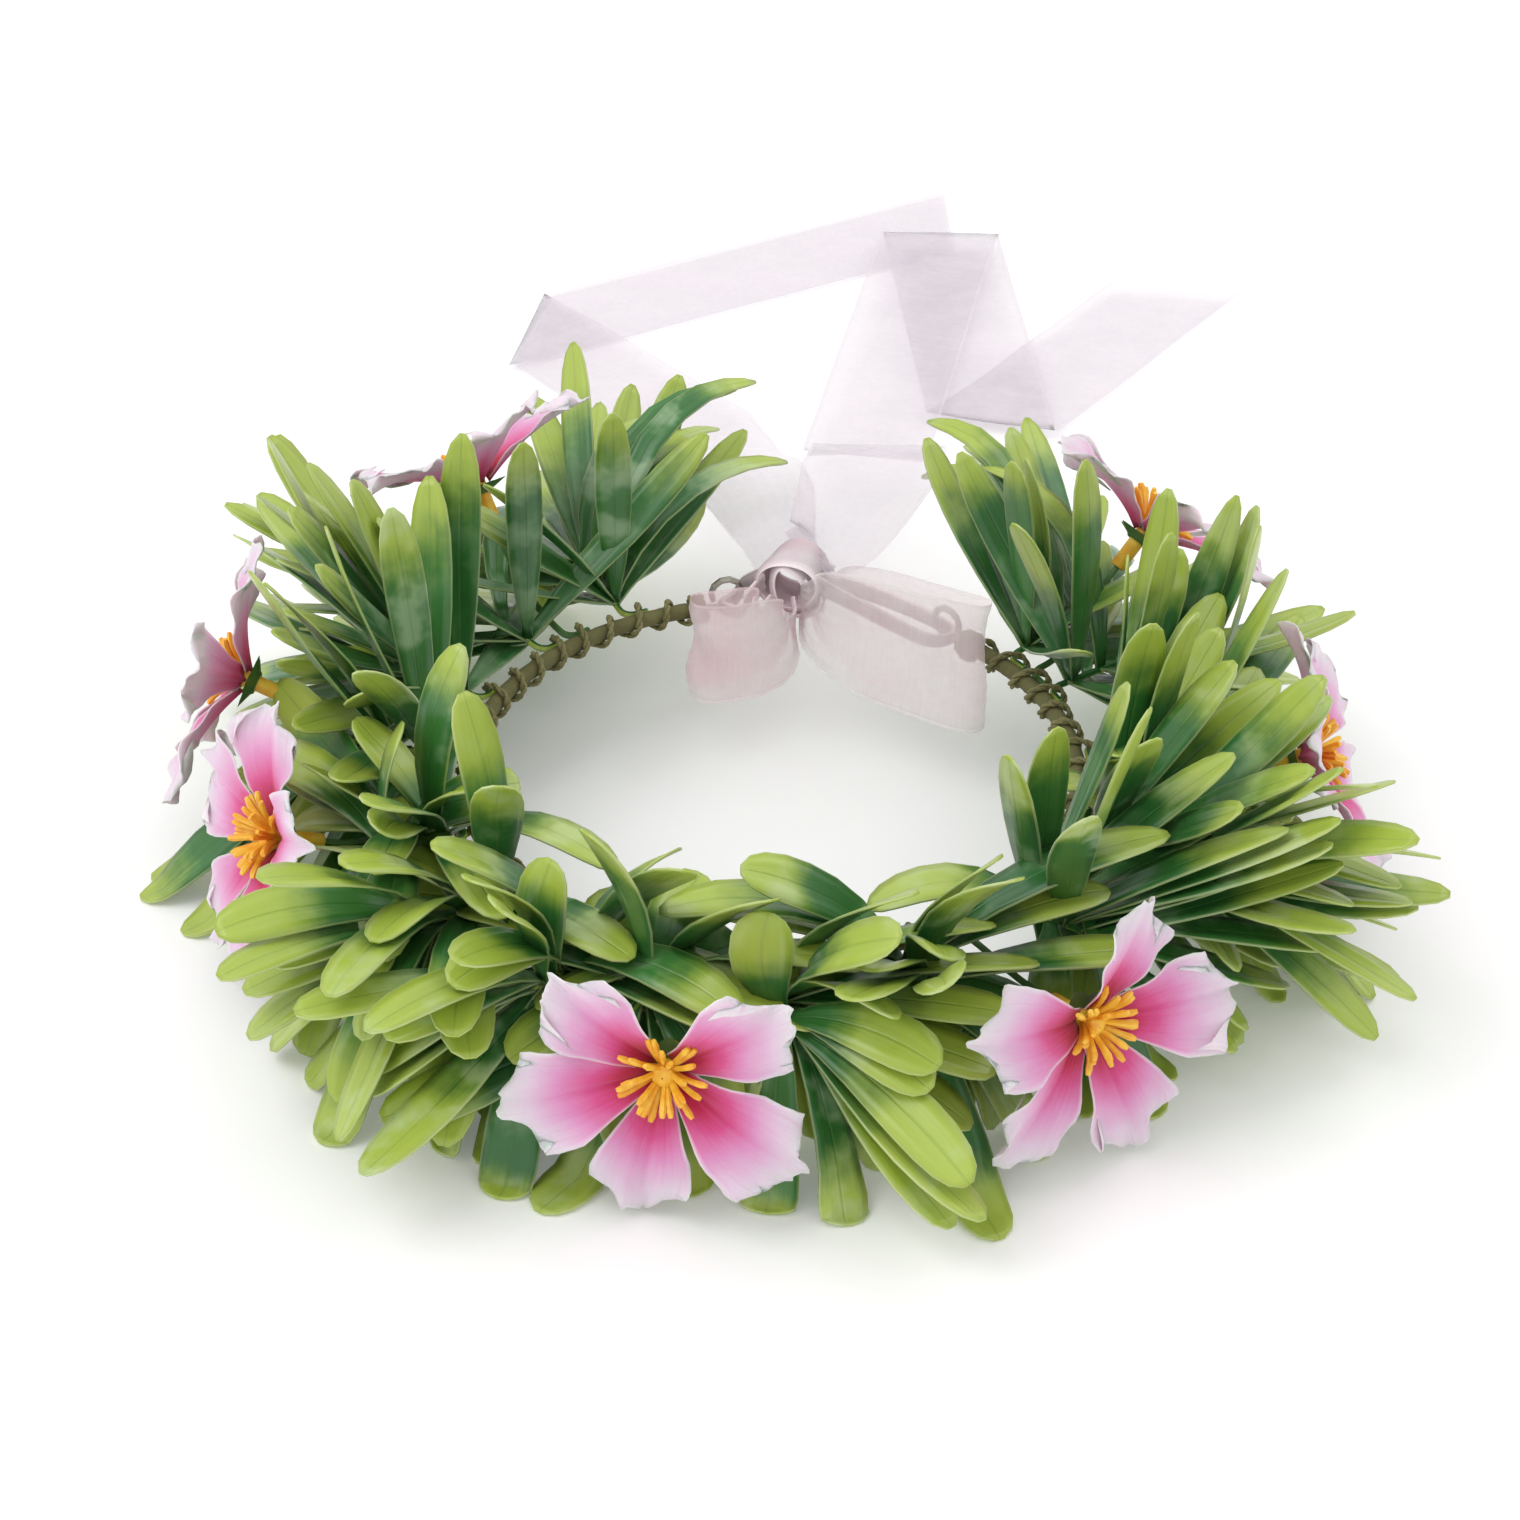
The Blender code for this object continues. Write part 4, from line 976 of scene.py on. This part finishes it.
# Each blossom's petals: where each stands round the blossom, its length, its widest half, its lift
# at the root and at the tip, and how far it rolls to one side, in degrees and metres.
PETAL_POSES = {
    "front": (
        (24.0, 0.0360, 0.0130, 31.0, 4.0, 16.0),
        (126.0, 0.0345, 0.0126, 31.0, 0.0, -14.0),
        (185.0, 0.0375, 0.0128, 20.0, -16.0, 8.0),
        (248.0, 0.0350, 0.0122, 18.0, -18.0, -4.0),
        (314.0, 0.0375, 0.0130, 22.0, -14.0, -10.0),
    ),
    "front_right": (
        (36.0, 0.0370, 0.0124, 31.0, 4.0, -18.0),
        (106.0, 0.0310, 0.0130, 31.0, -6.0, 16.0),
        (202.0, 0.0370, 0.0126, 24.0, -14.0, 10.0),
        (264.0, 0.0375, 0.0126, 18.0, -14.0, -8.0),
        (326.0, 0.0360, 0.0122, 24.0, -8.0, 8.0),
    ),
    "left": (
        (98.0, 0.0375, 0.0138, 26.0, -8.0, -10.0),
        (168.0, 0.0360, 0.0126, 22.0, -14.0, 8.0),
        (232.0, 0.0370, 0.0130, 22.0, -12.0, -8.0),
        (18.0, 0.0330, 0.0126, 31.0, 0.0, 16.0),
        (302.0, 0.0330, 0.0122, 31.0, -6.0, 8.0),
    ),
    "back_left": (
        (10.0, 0.0360, 0.0126, 31.0, 4.0, 10.0),
        (80.0, 0.0350, 0.0128, 31.0, -2.0, -12.0),
        (150.0, 0.0370, 0.0126, 31.0, 2.0, 10.0),
        (222.0, 0.0350, 0.0126, 32.0, -4.0, -10.0),
        (296.0, 0.0365, 0.0126, 31.0, 2.0, 12.0),
    ),
}
DEFAULT_POSES = (
    (2.0, 0.0360, 0.0130, 30.0, -4.0, 10.0),
    (72.0, 0.0370, 0.0126, 31.0, 0.0, -12.0),
    (148.0, 0.0355, 0.0126, 26.0, -10.0, 8.0),
    (214.0, 0.0360, 0.0128, 24.0, -12.0, -8.0),
    (290.0, 0.0370, 0.0126, 30.0, -4.0, 12.0),
)


def petal_points(pose, layer, seed):
    """A petal's points, row by row from its root, about the blossom's own axis."""
    azimuth, length, half, root_lift, tip_lift, lean = pose
    across = np.linspace(-1, 1, PETAL_ACROSS + 1)
    rows = []
    out, up = PETAL_ROOT, 0.0010 + 0.0003 * layer
    for row in range(PETAL_ALONG + 1):
        share = row / PETAL_ALONG
        lift = math.radians(root_lift + (tip_lift - root_lift) * share)
        width = half * np.interp(share, *zip(*PETAL_OUTLINE))
        rim = max(0.0, (share - 0.45) / 0.55)
        ripple = np.sin(across * 5.2 + seed * 2.1) * 0.0016 + np.sin(across * 10.0 + seed * 5.0) * 0.0009
        frill = np.sin(share * 15.0 + np.sign(across) + seed * 1.7) * 0.0011
        frill = frill * across**4 * min(1.0, share * 2)
        notch = np.array([noise.noise(Vector((x * 3.6, seed * 3.3, 0.0))) for x in across])
        round_end = 1.0 - 0.42 * np.abs(across) ** 2.2 * rim**1.8
        teeth = np.where(np.arange(PETAL_ACROSS + 1) % 2, 0.0002, -0.0002)
        cut_end = out * round_end + notch * 0.0026 * rim**4 + teeth * rim**6
        radial = out * (1 - rim**3) + cut_end * rim**3
        crease = -0.0011 * np.exp(-((across / 0.22) ** 2)) * (1 - 0.5 * share)
        cup = 0.0022 * across**2 * math.sin(math.pi * min(1.0, share * 0.95 + 0.05))
        height = up + cup + crease + ripple * rim**1.5 + frill
        sway = math.radians(lean) * across
        rows.append(np.stack([radial, across * width, height + np.sin(sway) * width], 1))
        out += length / PETAL_ALONG * math.cos(lift)
        up += length / PETAL_ALONG * math.sin(lift)
    points = np.concatenate(rows)
    turn = math.radians(azimuth)
    spun = points.copy()
    spun[:, 0] = points[:, 0] * math.cos(turn) - points[:, 1] * math.sin(turn)
    spun[:, 1] = points[:, 0] * math.sin(turn) + points[:, 1] * math.cos(turn)
    return spun


def cloth_from(name, grids, across, along):
    """Cloth pieces in one mesh, each from rows of points, with a UV map from 0 to 1 on each."""
    width = across + 1
    corners, faces, maps = [], [], []
    for grid in grids:
        low = len(corners)
        corners.extend(map(tuple, grid))
        for row in range(along):
            for column in range(across):
                first = low + row * width + column
                faces.append((first, first + 1, first + 1 + width, first + width))
                spots = ((column, row), (column + 1, row), (column + 1, row + 1), (column, row + 1))
                maps.extend((x / across, y / along) for x, y in spots)
    mesh = bpy.data.meshes.new(name)
    mesh.from_pydata(corners, [], faces)
    layer = mesh.uv_layers.new(name="UVMap")
    layer.data.foreach_set("uv", [number for spot in maps for number in spot])
    made = bpy.data.objects.new(name, mesh)
    bpy.context.scene.collection.objects.link(made)
    return made


def thickened(piece):
    """Gives petal cloth its thickness, and marks the points of its back."""
    select_only(piece)
    count = len(piece.data.vertices)
    wall = piece.modifiers.new("Cloth", "SOLIDIFY")
    wall.thickness = PETAL_CLOTH
    wall.offset = 0.0
    bpy.ops.object.modifier_apply(modifier="Cloth")
    bpy.ops.object.shade_smooth()
    reverse = piece.data.attributes.new("reverse", "FLOAT", "POINT")
    reverse.data.foreach_set("value", [1.0 if index < count else 0.0 for index in range(2 * count)])
    return piece


def stand_on(piece, centre, facing, spin):
    """Turns a piece made about Z onto a blossom's axis, and applies its place to its mesh."""
    turn = UP.rotation_difference(facing) @ Matrix.Rotation(math.radians(spin), 3, "Z").to_quaternion()
    piece.data.transform(Matrix.Translation(centre) @ turn.to_matrix().to_4x4())
    piece.data.update()


def petal_finish():
    finish = Finish(
        "printed_petal_cloth",
        Sheen_Weight=0.2,
        Sheen_Roughness=0.5,
        Subsurface_Weight=0.7,
        Subsurface_Radius=(1.0, 0.55, 0.75),
        Subsurface_Scale=0.0012,
    )
    across, along = finish.across_and_along()
    where = finish.place()
    wash = finish.grain(where, 90.0, 3.0)
    vein_place = finish.vector(across * 20.0, along * 1.2, wash)
    veins = finish.grain(vein_place, 1.0, 3.0)
    middle = (across - 0.5).math("ABSOLUTE")
    reverse = finish.node("ShaderNodeAttribute", output="Fac", attribute_name="reverse")
    reach = along + middle * 0.42 + (wash - 0.5) * 0.16 + (veins - 0.5) * 0.16 + reverse * 0.24
    stops = (
        (0.0, (0.42, 0.006, 0.045)),
        (0.26, (0.60, 0.018, 0.095)),
        (0.44, (0.74, 0.090, 0.300)),
        (0.62, (0.80, 0.310, 0.560)),
        (0.84, (0.84, 0.600, 0.760)),
        (1.0, (0.86, 0.730, 0.820)),
    )
    colour = finish.node("ShaderNodeValToRGB", {"Fac": reach}, "Color", stops)
    colour = finish.mixed(veins.between(0.52, 0.72) * 0.22, colour, (0.62, 0.10, 0.30))
    rim = middle.between(0.44, 0.5).math("MAXIMUM", along.between(0.95, 1.0))
    colour = finish.mixed(rim * 0.6, colour, (0.93, 0.86, 0.88))
    finish.surface("Base Color", colour)
    finish.surface("Roughness", 0.72 + wash * 0.15)
    weave = (across * 330.0).math("SINE") * (along * 420.0).math("SINE") * 0.12
    finish.relief(weave + veins * 0.9, 0.6, 0.0007)
    return finish.material


petal_cloth = petal_finish()
# How far each blossom is turned about its own axis, in degrees.
SPINS = {
    "front": 18.0,
    "front_right": 10.0,
    "right": 40.0,
    "back_right": 0.0,
    "back_left": 25.0,
    "far_left": 12.0,
    "left": 33.0,
}
for number, (flower, (centre, facing)) in enumerate(blossoms.items()):
    poses = PETAL_POSES.get(flower, DEFAULT_POSES)
    grids = [petal_points(pose, layer % 3, number * 7 + layer + 1.5) for layer, pose in enumerate(poses)]
    petals = thickened(cloth_from(f"petals_{flower}", grids, PETAL_ACROSS, PETAL_ALONG))
    stand_on(petals, centre, facing, SPINS[flower])
    add_finish(petals, petal_cloth)
    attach(petals, f"blossom_{flower}_head")
    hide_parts(f"blossom_{flower}_petals")

# The stamens.
# One moulding in orange-yellow plastic: a peg with a socket for the stem, and a spray of thick
# filaments with round ends that stands up through the petals.
FILAMENTS = 26
FILAMENT_RADIUS = 0.0008
FILAMENT_LEANS = (55, 43, 29)
FILAMENT_SWELL = (1.1, 0.95, 0.88, 0.88, 0.92, 1.0, 1.12, 0.72)
GOLDEN_TURN = 137.5
PEG_RADIUS = 0.0021
SOCKET_RADIUS = STEM_RADIUS + FIT_GAP


def turned_piece(name, profile, sides):
    """A hollow turned piece: a ring of points, extruded and resized along its closed profile."""
    bpy.ops.object.select_all(action="DESELECT")
    radius, height = profile[0]
    bpy.ops.mesh.primitive_circle_add(vertices=sides, radius=radius, location=(0, 0, height))
    made = bpy.context.object
    made.name = name
    bpy.ops.object.transform_apply()
    bpy.ops.object.mode_set(mode="EDIT")
    bpy.ops.mesh.select_all(action="SELECT")
    for next_radius, next_height in profile[1:] + profile[:1]:
        share = next_radius / radius
        bpy.ops.mesh.extrude_region_move(TRANSFORM_OT_translate={"value": (0.0, 0.0, next_height - height)})
        bpy.ops.transform.resize(value=(share, share, 1.0), center_override=(0.0, 0.0, 0.0))
        radius, height = next_radius, next_height
    bpy.ops.mesh.select_all(action="SELECT")
    bpy.ops.mesh.remove_doubles(threshold=0.00001)
    bpy.ops.mesh.normals_make_consistent(inside=False)
    bpy.ops.object.mode_set(mode="OBJECT")
    bpy.ops.object.shade_smooth_by_angle(angle=math.radians(40))
    return made


def filament(number):
    """A thick bent finger of the spray, leaning out from the button in its middle."""
    lean = math.radians(FILAMENT_LEANS[number % 3] + chance.uniform(-5, 5))
    turn = math.radians(number * GOLDEN_TURN)
    way = Vector((math.cos(turn) * math.sin(lean), math.sin(turn) * math.sin(lean), math.cos(lean)))
    length = 0.0112 + 0.0012 * chance.random()
    foot = Vector((way.x, way.y, 0.0)) * 0.0016 + UP * 0.0010
    points = []
    for step in range(len(FILAMENT_SWELL)):
        share = step / (len(FILAMENT_SWELL) - 1)
        arch = UP * (0.0030 * math.sin(lean) * (1 - share) * share * 2)
        points.append(foot + way * length * share + arch)
    return rod(f"filament_{number}", points, FILAMENT_RADIUS, 8, FILAMENT_SWELL)


def stamen_finish():
    finish = Finish("stamen_yellow", Coat_Weight=0.15)
    where = finish.place()
    tint = finish.grain(where, 300.0)
    colour = finish.mixed(tint.between(0.3, 0.7), (0.84, 0.38, 0.018), (0.93, 0.60, 0.060))
    finish.surface("Base Color", colour)
    finish.surface("Roughness", 0.38 + tint * 0.15)
    finish.relief(finish.grain(where, 1500.0), 0.3, 0.0002)
    return finish.material


PEG_PROFILE = [
    (PEG_RADIUS * 0.7, 0.0058),
    (PEG_RADIUS * 1.25, 0.0050),
    (PEG_RADIUS * 1.4, 0.0036),
    (PEG_RADIUS * 1.1, 0.0016),
    (PEG_RADIUS, 0.0004),
    (PEG_RADIUS, -PEG_LENGTH + 0.0004),
    (PEG_RADIUS - 0.0003, -PEG_LENGTH),
    (SOCKET_RADIUS, -PEG_LENGTH),
    (SOCKET_RADIUS, SOCKET_DEPTH - PEG_LENGTH),
    (0.0002, SOCKET_DEPTH - PEG_LENGTH),
    (0.0002, 0.0060),
]
stamen_yellow = stamen_finish()
peg = turned_piece("peg", PEG_PROFILE, 16)
stamen_master = joined("stamens", [peg, *(filament(step) for step in range(FILAMENTS))])
for flower, (centre, facing) in blossoms.items():
    stamens = copy_of(stamen_master)
    stamens.name = f"stamens_{flower}"
    stand_on(stamens, centre, facing, SPINS[flower] * 3)
    add_finish(stamens, stamen_yellow)
    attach(stamens, f"blossom_{flower}_head")
    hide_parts(f"blossom_{flower}_stamens")
bpy.data.objects.remove(stamen_master)

# The calyxes.
# A small green cup with five pointed sepals, pushed up the peg against the back of the petals.
CALYX_RADIUS = 0.0055
CALYX_DEPTH = 0.0026
CALYX_PROFILE = [
    (CALYX_RADIUS, -0.0004),
    (CALYX_RADIUS * 0.86, -0.0011),
    (CALYX_RADIUS * 0.62, -0.0020),
    (PEG_RADIUS + 0.0008, -CALYX_DEPTH),
    (PEG_RADIUS + FIT_GAP, -CALYX_DEPTH),
    (PEG_RADIUS + FIT_GAP, -0.0006),
]


def calyx_master():
    """The cup, whose rim is drawn out to five points."""
    cup = turned_piece("calyx", CALYX_PROFILE, 20)
    points = points_of(cup)
    radial = np.hypot(points[:, 0], points[:, 1])
    turn = np.arctan2(points[:, 1], points[:, 0])
    drawn = 1.0 + 0.42 * np.clip((radial - 0.0035) / 0.002, 0, 1) * np.abs(np.cos(turn * 2.5)) ** 2
    points[:, :2] *= drawn[:, None]
    move_points(cup, points)
    return cup


calyx_cup = calyx_master()
for flower, (centre, facing) in blossoms.items():
    calyx = copy_of(calyx_cup)
    calyx.name = f"calyx_{flower}"
    stand_on(calyx, centre, facing, SPINS[flower])
    add_finish(calyx, stem_green)
    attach(calyx, f"blossom_{flower}_head")
    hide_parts(f"blossom_{flower}_calyx")
bpy.data.objects.remove(calyx_cup)

# The ribbon.
# One strip of sheer organza with a woven edge, threaded through both eyes of the hoop and tied in
# a bow: gathered in the eyes and the knot, open in its two loops, and folded flat in its tails.
RIBBON_WIDTH = 0.038
PLEATS = 16
KNOT_ANGLE = -170.7
KNOT_OUT = 0.002
KNOT_UP = 0.008
KNOT_SIZE = Vector((0.018, 0.014, 0.016))
LOOP_ROWS = 72
# Plans of the standing loops, as ring angles and distances in from the hoop.
RIGHT_LOOP = (
    (-174.9, 0.0107),
    (172.4, 0.0175),
    (154.3, 0.0181),
    (142.2, 0.0128),
    (140.5, 0.0080),
    (143.9, 0.0068),
    (155.3, 0.0109),
    (169.7, 0.0109),
    (180.0, 0.0070),
)
LEFT_LOOP = (
    (-170.5, 0.0111),
    (-163.7, 0.0176),
    (-152.6, 0.0194),
    (-147.1, 0.0155),
    (-147.7, 0.0106),
    (-152.9, 0.0100),
    (-159.3, 0.0101),
    (-165.2, 0.0077),
)
# Tails: offsets from the knot in plan, a height and a half width, down to the table, then the
# heading and the length of each flat run between folds, and the height of each run.
LEFT_DROP = (
    (-0.007, 0.010, 0.046, 0.010),
    (-0.018, 0.031, 0.048, 0.016),
    (-0.033, 0.066, 0.036, 0.018),
    (-0.048, 0.104, 0.014, 0.019),
    (-0.061, 0.135, 0.003, 0.019),
)
LEFT_RUNS = ((234.0, 0.090), (133.0, 0.168))
RIGHT_DROP = (
    (0.009, 0.010, 0.052, 0.015),
    (0.013, 0.031, 0.060, 0.019),
    (0.009, 0.063, 0.050, 0.019),
    (0.001, 0.097, 0.028, 0.019),
    (-0.009, 0.127, 0.007, 0.019),
)
RIGHT_RUNS = ((183.0, 0.150), (19.0, 0.122), (158.0, 0.119))
RIBBON_FOLD = 0.003
EYE_NECK = 0.0056
DROP_STEPS = 30
STRAND_STEPS = 40
KNOT_STEPS = 60
knot = ring_point(KNOT_ANGLE, HOOP_RADIUS + KNOT_OUT, HOOP_HEIGHT + KNOT_UP)


def smooth_through(points, count):
    """That many points on a smooth line through the ones given, evenly by parameter."""
    points = [Vector(point) for point in points]
    ends = [points[0] * 2 - points[1], *points, points[-1] * 2 - points[-2]]
    made = []
    for step in range(count):
        place = (len(points) - 1) * step / (count - 1)
        index = min(len(points) - 2, int(place))
        t = place - index
        a, b, c, d = ends[index : index + 4]
        made.append(
            0.5 * (2 * b + (c - a) * t + (2 * a - 5 * b + 4 * c - d) * t * t + (3 * b - a - 3 * c + d) * t**3)
        )
    return made


def pleated_row(centre, across, normal, width, open_share, seed):
    """Points across the ribbon: pulled in by its gathers, it stands in pleats of the same cloth."""
    step = width / PLEATS
    depth = step * math.sqrt(max(0.0, 1.0 - open_share**2))
    points = []
    for index in range(PLEATS + 1):
        place = (index - PLEATS / 2) * step * open_share
        uneven = 0.75 + 0.5 * noise.noise(Vector((index * 1.7, seed, 0.0)))
        fold = (depth / 2 if index % 2 else -depth / 2) * uneven
        points.append(centre + across * place + normal * fold)
    return np.array(points)


def length_along(points):
    return sum((after - before).length for before, after in zip(points, points[1:]))


def organza(name, held, rests_on, node, rows, flat_length, width, finish):
    """A stretch of ribbon from its rows, which rides on the crown."""
    grid = np.concatenate(rows)
    cloth = cloth_from(name, [grid], PLEATS, len(rows) - 1)
    select_only(cloth)
    bpy.ops.object.shade_smooth()
    add_finish(cloth, finish)
    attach(cloth, "crown")
    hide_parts(node)


def organza_finish(name, tint, cover, light):
    finish = Finish(name, Sheen_Weight=0.3, Sheen_Roughness=0.4, Roughness=0.45)
    across, along = finish.across_and_along()
    where = finish.place()
    creases = finish.grain(where, 55.0, 3.0)
    fine = finish.grain(where, 900.0, 2.0)
    thread_place = finish.vector(across * 4.0, along * 260.0, creases)
    weft = finish.grain(thread_place, 1.0, 3.0)
    middle = (across - 0.5).math("ABSOLUTE")
    selvedge = middle.between(0.468, 0.482)
    bright = finish.mixed(creases.between(0.3, 0.7), tint, light)
    finish.surface("Base Color", finish.mixed(selvedge * 0.5, bright, light))
    weave = weft * 0.10 + fine * 0.06
    finish.surface("Alpha", weave + selvedge * 0.16 + creases.between(0.35, 0.75) * 0.14 + cover)
    finish.relief(creases + weave * 0.2, 0.35, 0.0012)
    return finish.material


def standing_loop(plan, drop, width, lean, open_ends):
    """Rows of a loop that stands on edge over its plan, gathered at both ends."""
    middle = HOOP_HEIGHT - drop + width / 2
    inner = [ring_point(angle, HOOP_RADIUS - inset, middle) for angle, inset in plan]
    start = knot.lerp(inner[0], 0.45)
    line = smooth_through([start, *inner, knot.lerp(inner[-1], 0.5)], LOOP_ROWS)
    rows = []
    for index, point in enumerate(line):
        share = index / (LOOP_ROWS - 1)
        way = (line[min(LOOP_ROWS - 1, index + 1)] - line[max(0, index - 1)]).normalized()
        opened = min(1.0, share / 0.26, (1.0 - share) / 0.26)
        opened = open_ends + (0.995 - open_ends) * math.sin(opened * math.pi / 2)
        upright = (UP + outwards(165.0) * lean * math.sin(share * math.pi)).normalized()
        normal = way.cross(upright).normalized()
        upright = normal.cross(way).normalized()
        row = pleated_row(point, upright, normal, width, opened, share * 2.0)
        swell = math.sin(share * math.pi)
        for column in range(PLEATS + 1):
            spot = Vector((column * 0.16, share * 6.0, width * 100))
            row[column] += np.array(normal) * noise.noise(spot) * 0.0026 * swell
            row[column] += np.array(upright) * noise.noise(spot + UP * 5) * 0.0012 * swell
        rows.append(row)
    return rows, length_along(line)


def tail_rows(drop, runs, heights):
    """Rows of a tail: down from the knot, then flat runs, each folded over where it turns."""
    half = RIBBON_WIDTH / 2
    line = [Vector((knot.x + x, knot.y + y, z)) for x, y, z, _ in drop]
    line[-1].z = heights[0]
    widths = [row[3] for row in drop]
    fine = smooth_through([knot.lerp(line[0], 0.4), *line], DROP_STEPS)
    last = DROP_STEPS - 1
    rows = []
    for index, point in enumerate(fine):
        way = fine[min(last, index + 1)] - fine[max(0, index - 1)]
        if index > last - 3:
            way = outwards(runs[0][0])
        side = Vector((-way.y, way.x, 0.0)).normalized()
        normal = side.cross(way).normalized()
        share = max(0.0, index / last * len(drop) - 1.0)
        opened = min(0.995, np.interp(share, range(len(drop)), widths) / half)
        row = pleated_row(point, -side, normal, RIBBON_WIDTH, opened, 3.0)
        row[:, 2] = np.maximum(row[:, 2], heights[0] * index / last)
        rows.append(row)
    here = line[-1]
    turned_over = 1.0
    pairs = [(Vector(rows[-1][0]), Vector(rows[-1][-1]))]
    run_up = 0.0
    for index, (compass, length) in enumerate(runs):
        way = outwards(compass)
        left = UP.cross(way) * half * turned_over
        if index:
            after = here + way * run_up
            pairs.append((after + left, after - left))
        here = here + way * length
        if index == len(runs) - 1:
            pairs.append((here + left - way * half, here - left))
            break
        crease = (way + outwards(runs[index + 1][0])).normalized()
        crease *= half / abs(crease.dot(left.normalized()))
        run_up = abs(crease.dot(way)) + RIBBON_FOLD
        before = here - way * run_up
        pairs.append((before + left, before - left))
        if crease.dot(left) < 0:
            crease = -crease
        here.z = heights[index + 1]
        middle = Vector((here.x, here.y, (heights[index] + heights[index + 1]) / 2))
        pairs.append((middle + crease, middle - crease))
        turned_over = -turned_over
    total = length_along(fine) + sum(length for _, length in runs)
    for (a, b), (c, d) in zip(pairs, pairs[1:]):
        count = max(1, round(((c + d) / 2 - (a + b) / 2).length / 0.004))
        for step in range(1, count + 1):
            one, other = a.lerp(c, step / count), b.lerp(d, step / count)
            shares = np.linspace(0, 1, PLEATS + 1)[:, None]
            row = np.array(one) * (1 - shares) + np.array(other) * shares
            for column in range(PLEATS + 1):
                spot = Vector((row[column][0] * 38.0, row[column][1] * 38.0, heights[0] * 300))
                row[column][2] += 0.0007 * (0.5 + noise.noise(spot))
            rows.append(row)
    return rows, total


def knot_rows():
    """Rows of the ribbon where it is wound round itself twice, pulled in to a soft knot."""
    rows = []
    for step in range(KNOT_STEPS + 1):
        turn = 4 * math.pi * step / KNOT_STEPS
        grown = 0.62 + 0.38 * step / KNOT_STEPS
        way = Vector((math.cos(turn), 0.25 * math.sin(turn), math.sin(turn)))
        centre = knot + way * KNOT_SIZE * 0.5 * grown
        across = Vector((0.22 * math.sin(turn * 1.5), 1.0, 0.18 * math.cos(turn))).normalized()
        rows.append(pleated_row(centre, across, way.normalized(), RIBBON_WIDTH, 0.36, turn * 0.35))
    return rows, 4 * math.pi * KNOT_SIZE.x / 2 * 0.81


def strand_rows(end_angle, way):
    """Rows of the gathered ribbon from the knot, through an eye of the hoop and back."""
    end = ring_point(end_angle, HOOP_RADIUS, HOOP_HEIGHT)
    eye = end + onwards(end_angle) * way * EYE_NECK
    towards = (Vector((knot.x, knot.y, eye.z)) - eye).normalized()
    near = knot - towards * (KNOT_SIZE.x / 2)
    spread = outwards(end_angle) * 0.004
    places = [(near, 0.45), (near.lerp(eye, 0.5), 1.0), (eye + towards * 0.003, 1.0)]
    line = [place + spread * share for place, share in places]
    line.append(eye - towards * 0.0014)
    line += [place - spread * share for place, share in reversed(places)]
    fine = smooth_through(line, STRAND_STEPS)
    last = STRAND_STEPS - 1
    rows = []
    for index, point in enumerate(fine):
        ahead = (fine[min(last, index + 1)] - fine[max(0, index - 1)]).normalized()
        level = ahead.cross(UP).normalized()
        opened = 0.085 + 0.05 * abs(index - last / 2) / 20
        rows.append(pleated_row(point, UP, level, RIBBON_WIDTH, opened, 7.0))
    return rows, length_along(fine)


white_organza = organza_finish("white_organza", (0.62, 0.54, 0.61), 0.32, (0.75, 0.67, 0.73))
blush_organza = organza_finish("blush_organza", (0.98, 0.80, 0.86), 0.34, (0.99, 0.92, 0.95))
pink_organza = organza_finish("pink_organza", (0.98, 0.70, 0.78), 0.44, (0.99, 0.86, 0.90))
knot_organza = organza_finish("knot_organza", (0.98, 0.74, 0.81), 0.66, (0.99, 0.88, 0.92))
LAYERS = [0.0006 + 0.0022 * step for step in range(4)]
LOOP_LEFT_WIDTH = 0.030
rows, length = standing_loop(RIGHT_LOOP, 0.015, RIBBON_WIDTH, 0.10, 0.30)
names = ("loop_right", "gathered", "knot_cloth", "ribbon_loop_right")
organza(*names, rows, length, RIBBON_WIDTH, blush_organza)
rows, length = standing_loop(LEFT_LOOP, 0.018, LOOP_LEFT_WIDTH, 0.05, 0.45)
names = ("loop_left", "gathered", "knot_cloth", "ribbon_loop_left")
organza(*names, rows, length, LOOP_LEFT_WIDTH, pink_organza)
rows, length = tail_rows(LEFT_DROP, LEFT_RUNS, LAYERS[1::-1])
organza("tail_left", "folded", "table", "ribbon_tail_left", rows, length, RIBBON_WIDTH, white_organza)
rows, length = tail_rows(RIGHT_DROP, RIGHT_RUNS, LAYERS[:0:-1])
organza("tail_right", "folded", "table", "ribbon_tail_right", rows, length, RIBBON_WIDTH, white_organza)
rows, length = knot_rows()
organza("knot_cloth", "gathered", "hoop_wire", "ribbon_knot", rows, length, RIBBON_WIDTH, knot_organza)
for side, end_angle, way in (("left", -HALF_SWEEP, -1.0), ("right", HALF_SWEEP, 1.0)):
    rows, length = strand_rows(end_angle, way)
    names = (f"strand_{side}", "gathered", "hoop_wire", f"ribbon_strand_{side}")
    organza(*names, rows, length, RIBBON_WIDTH, knot_organza)
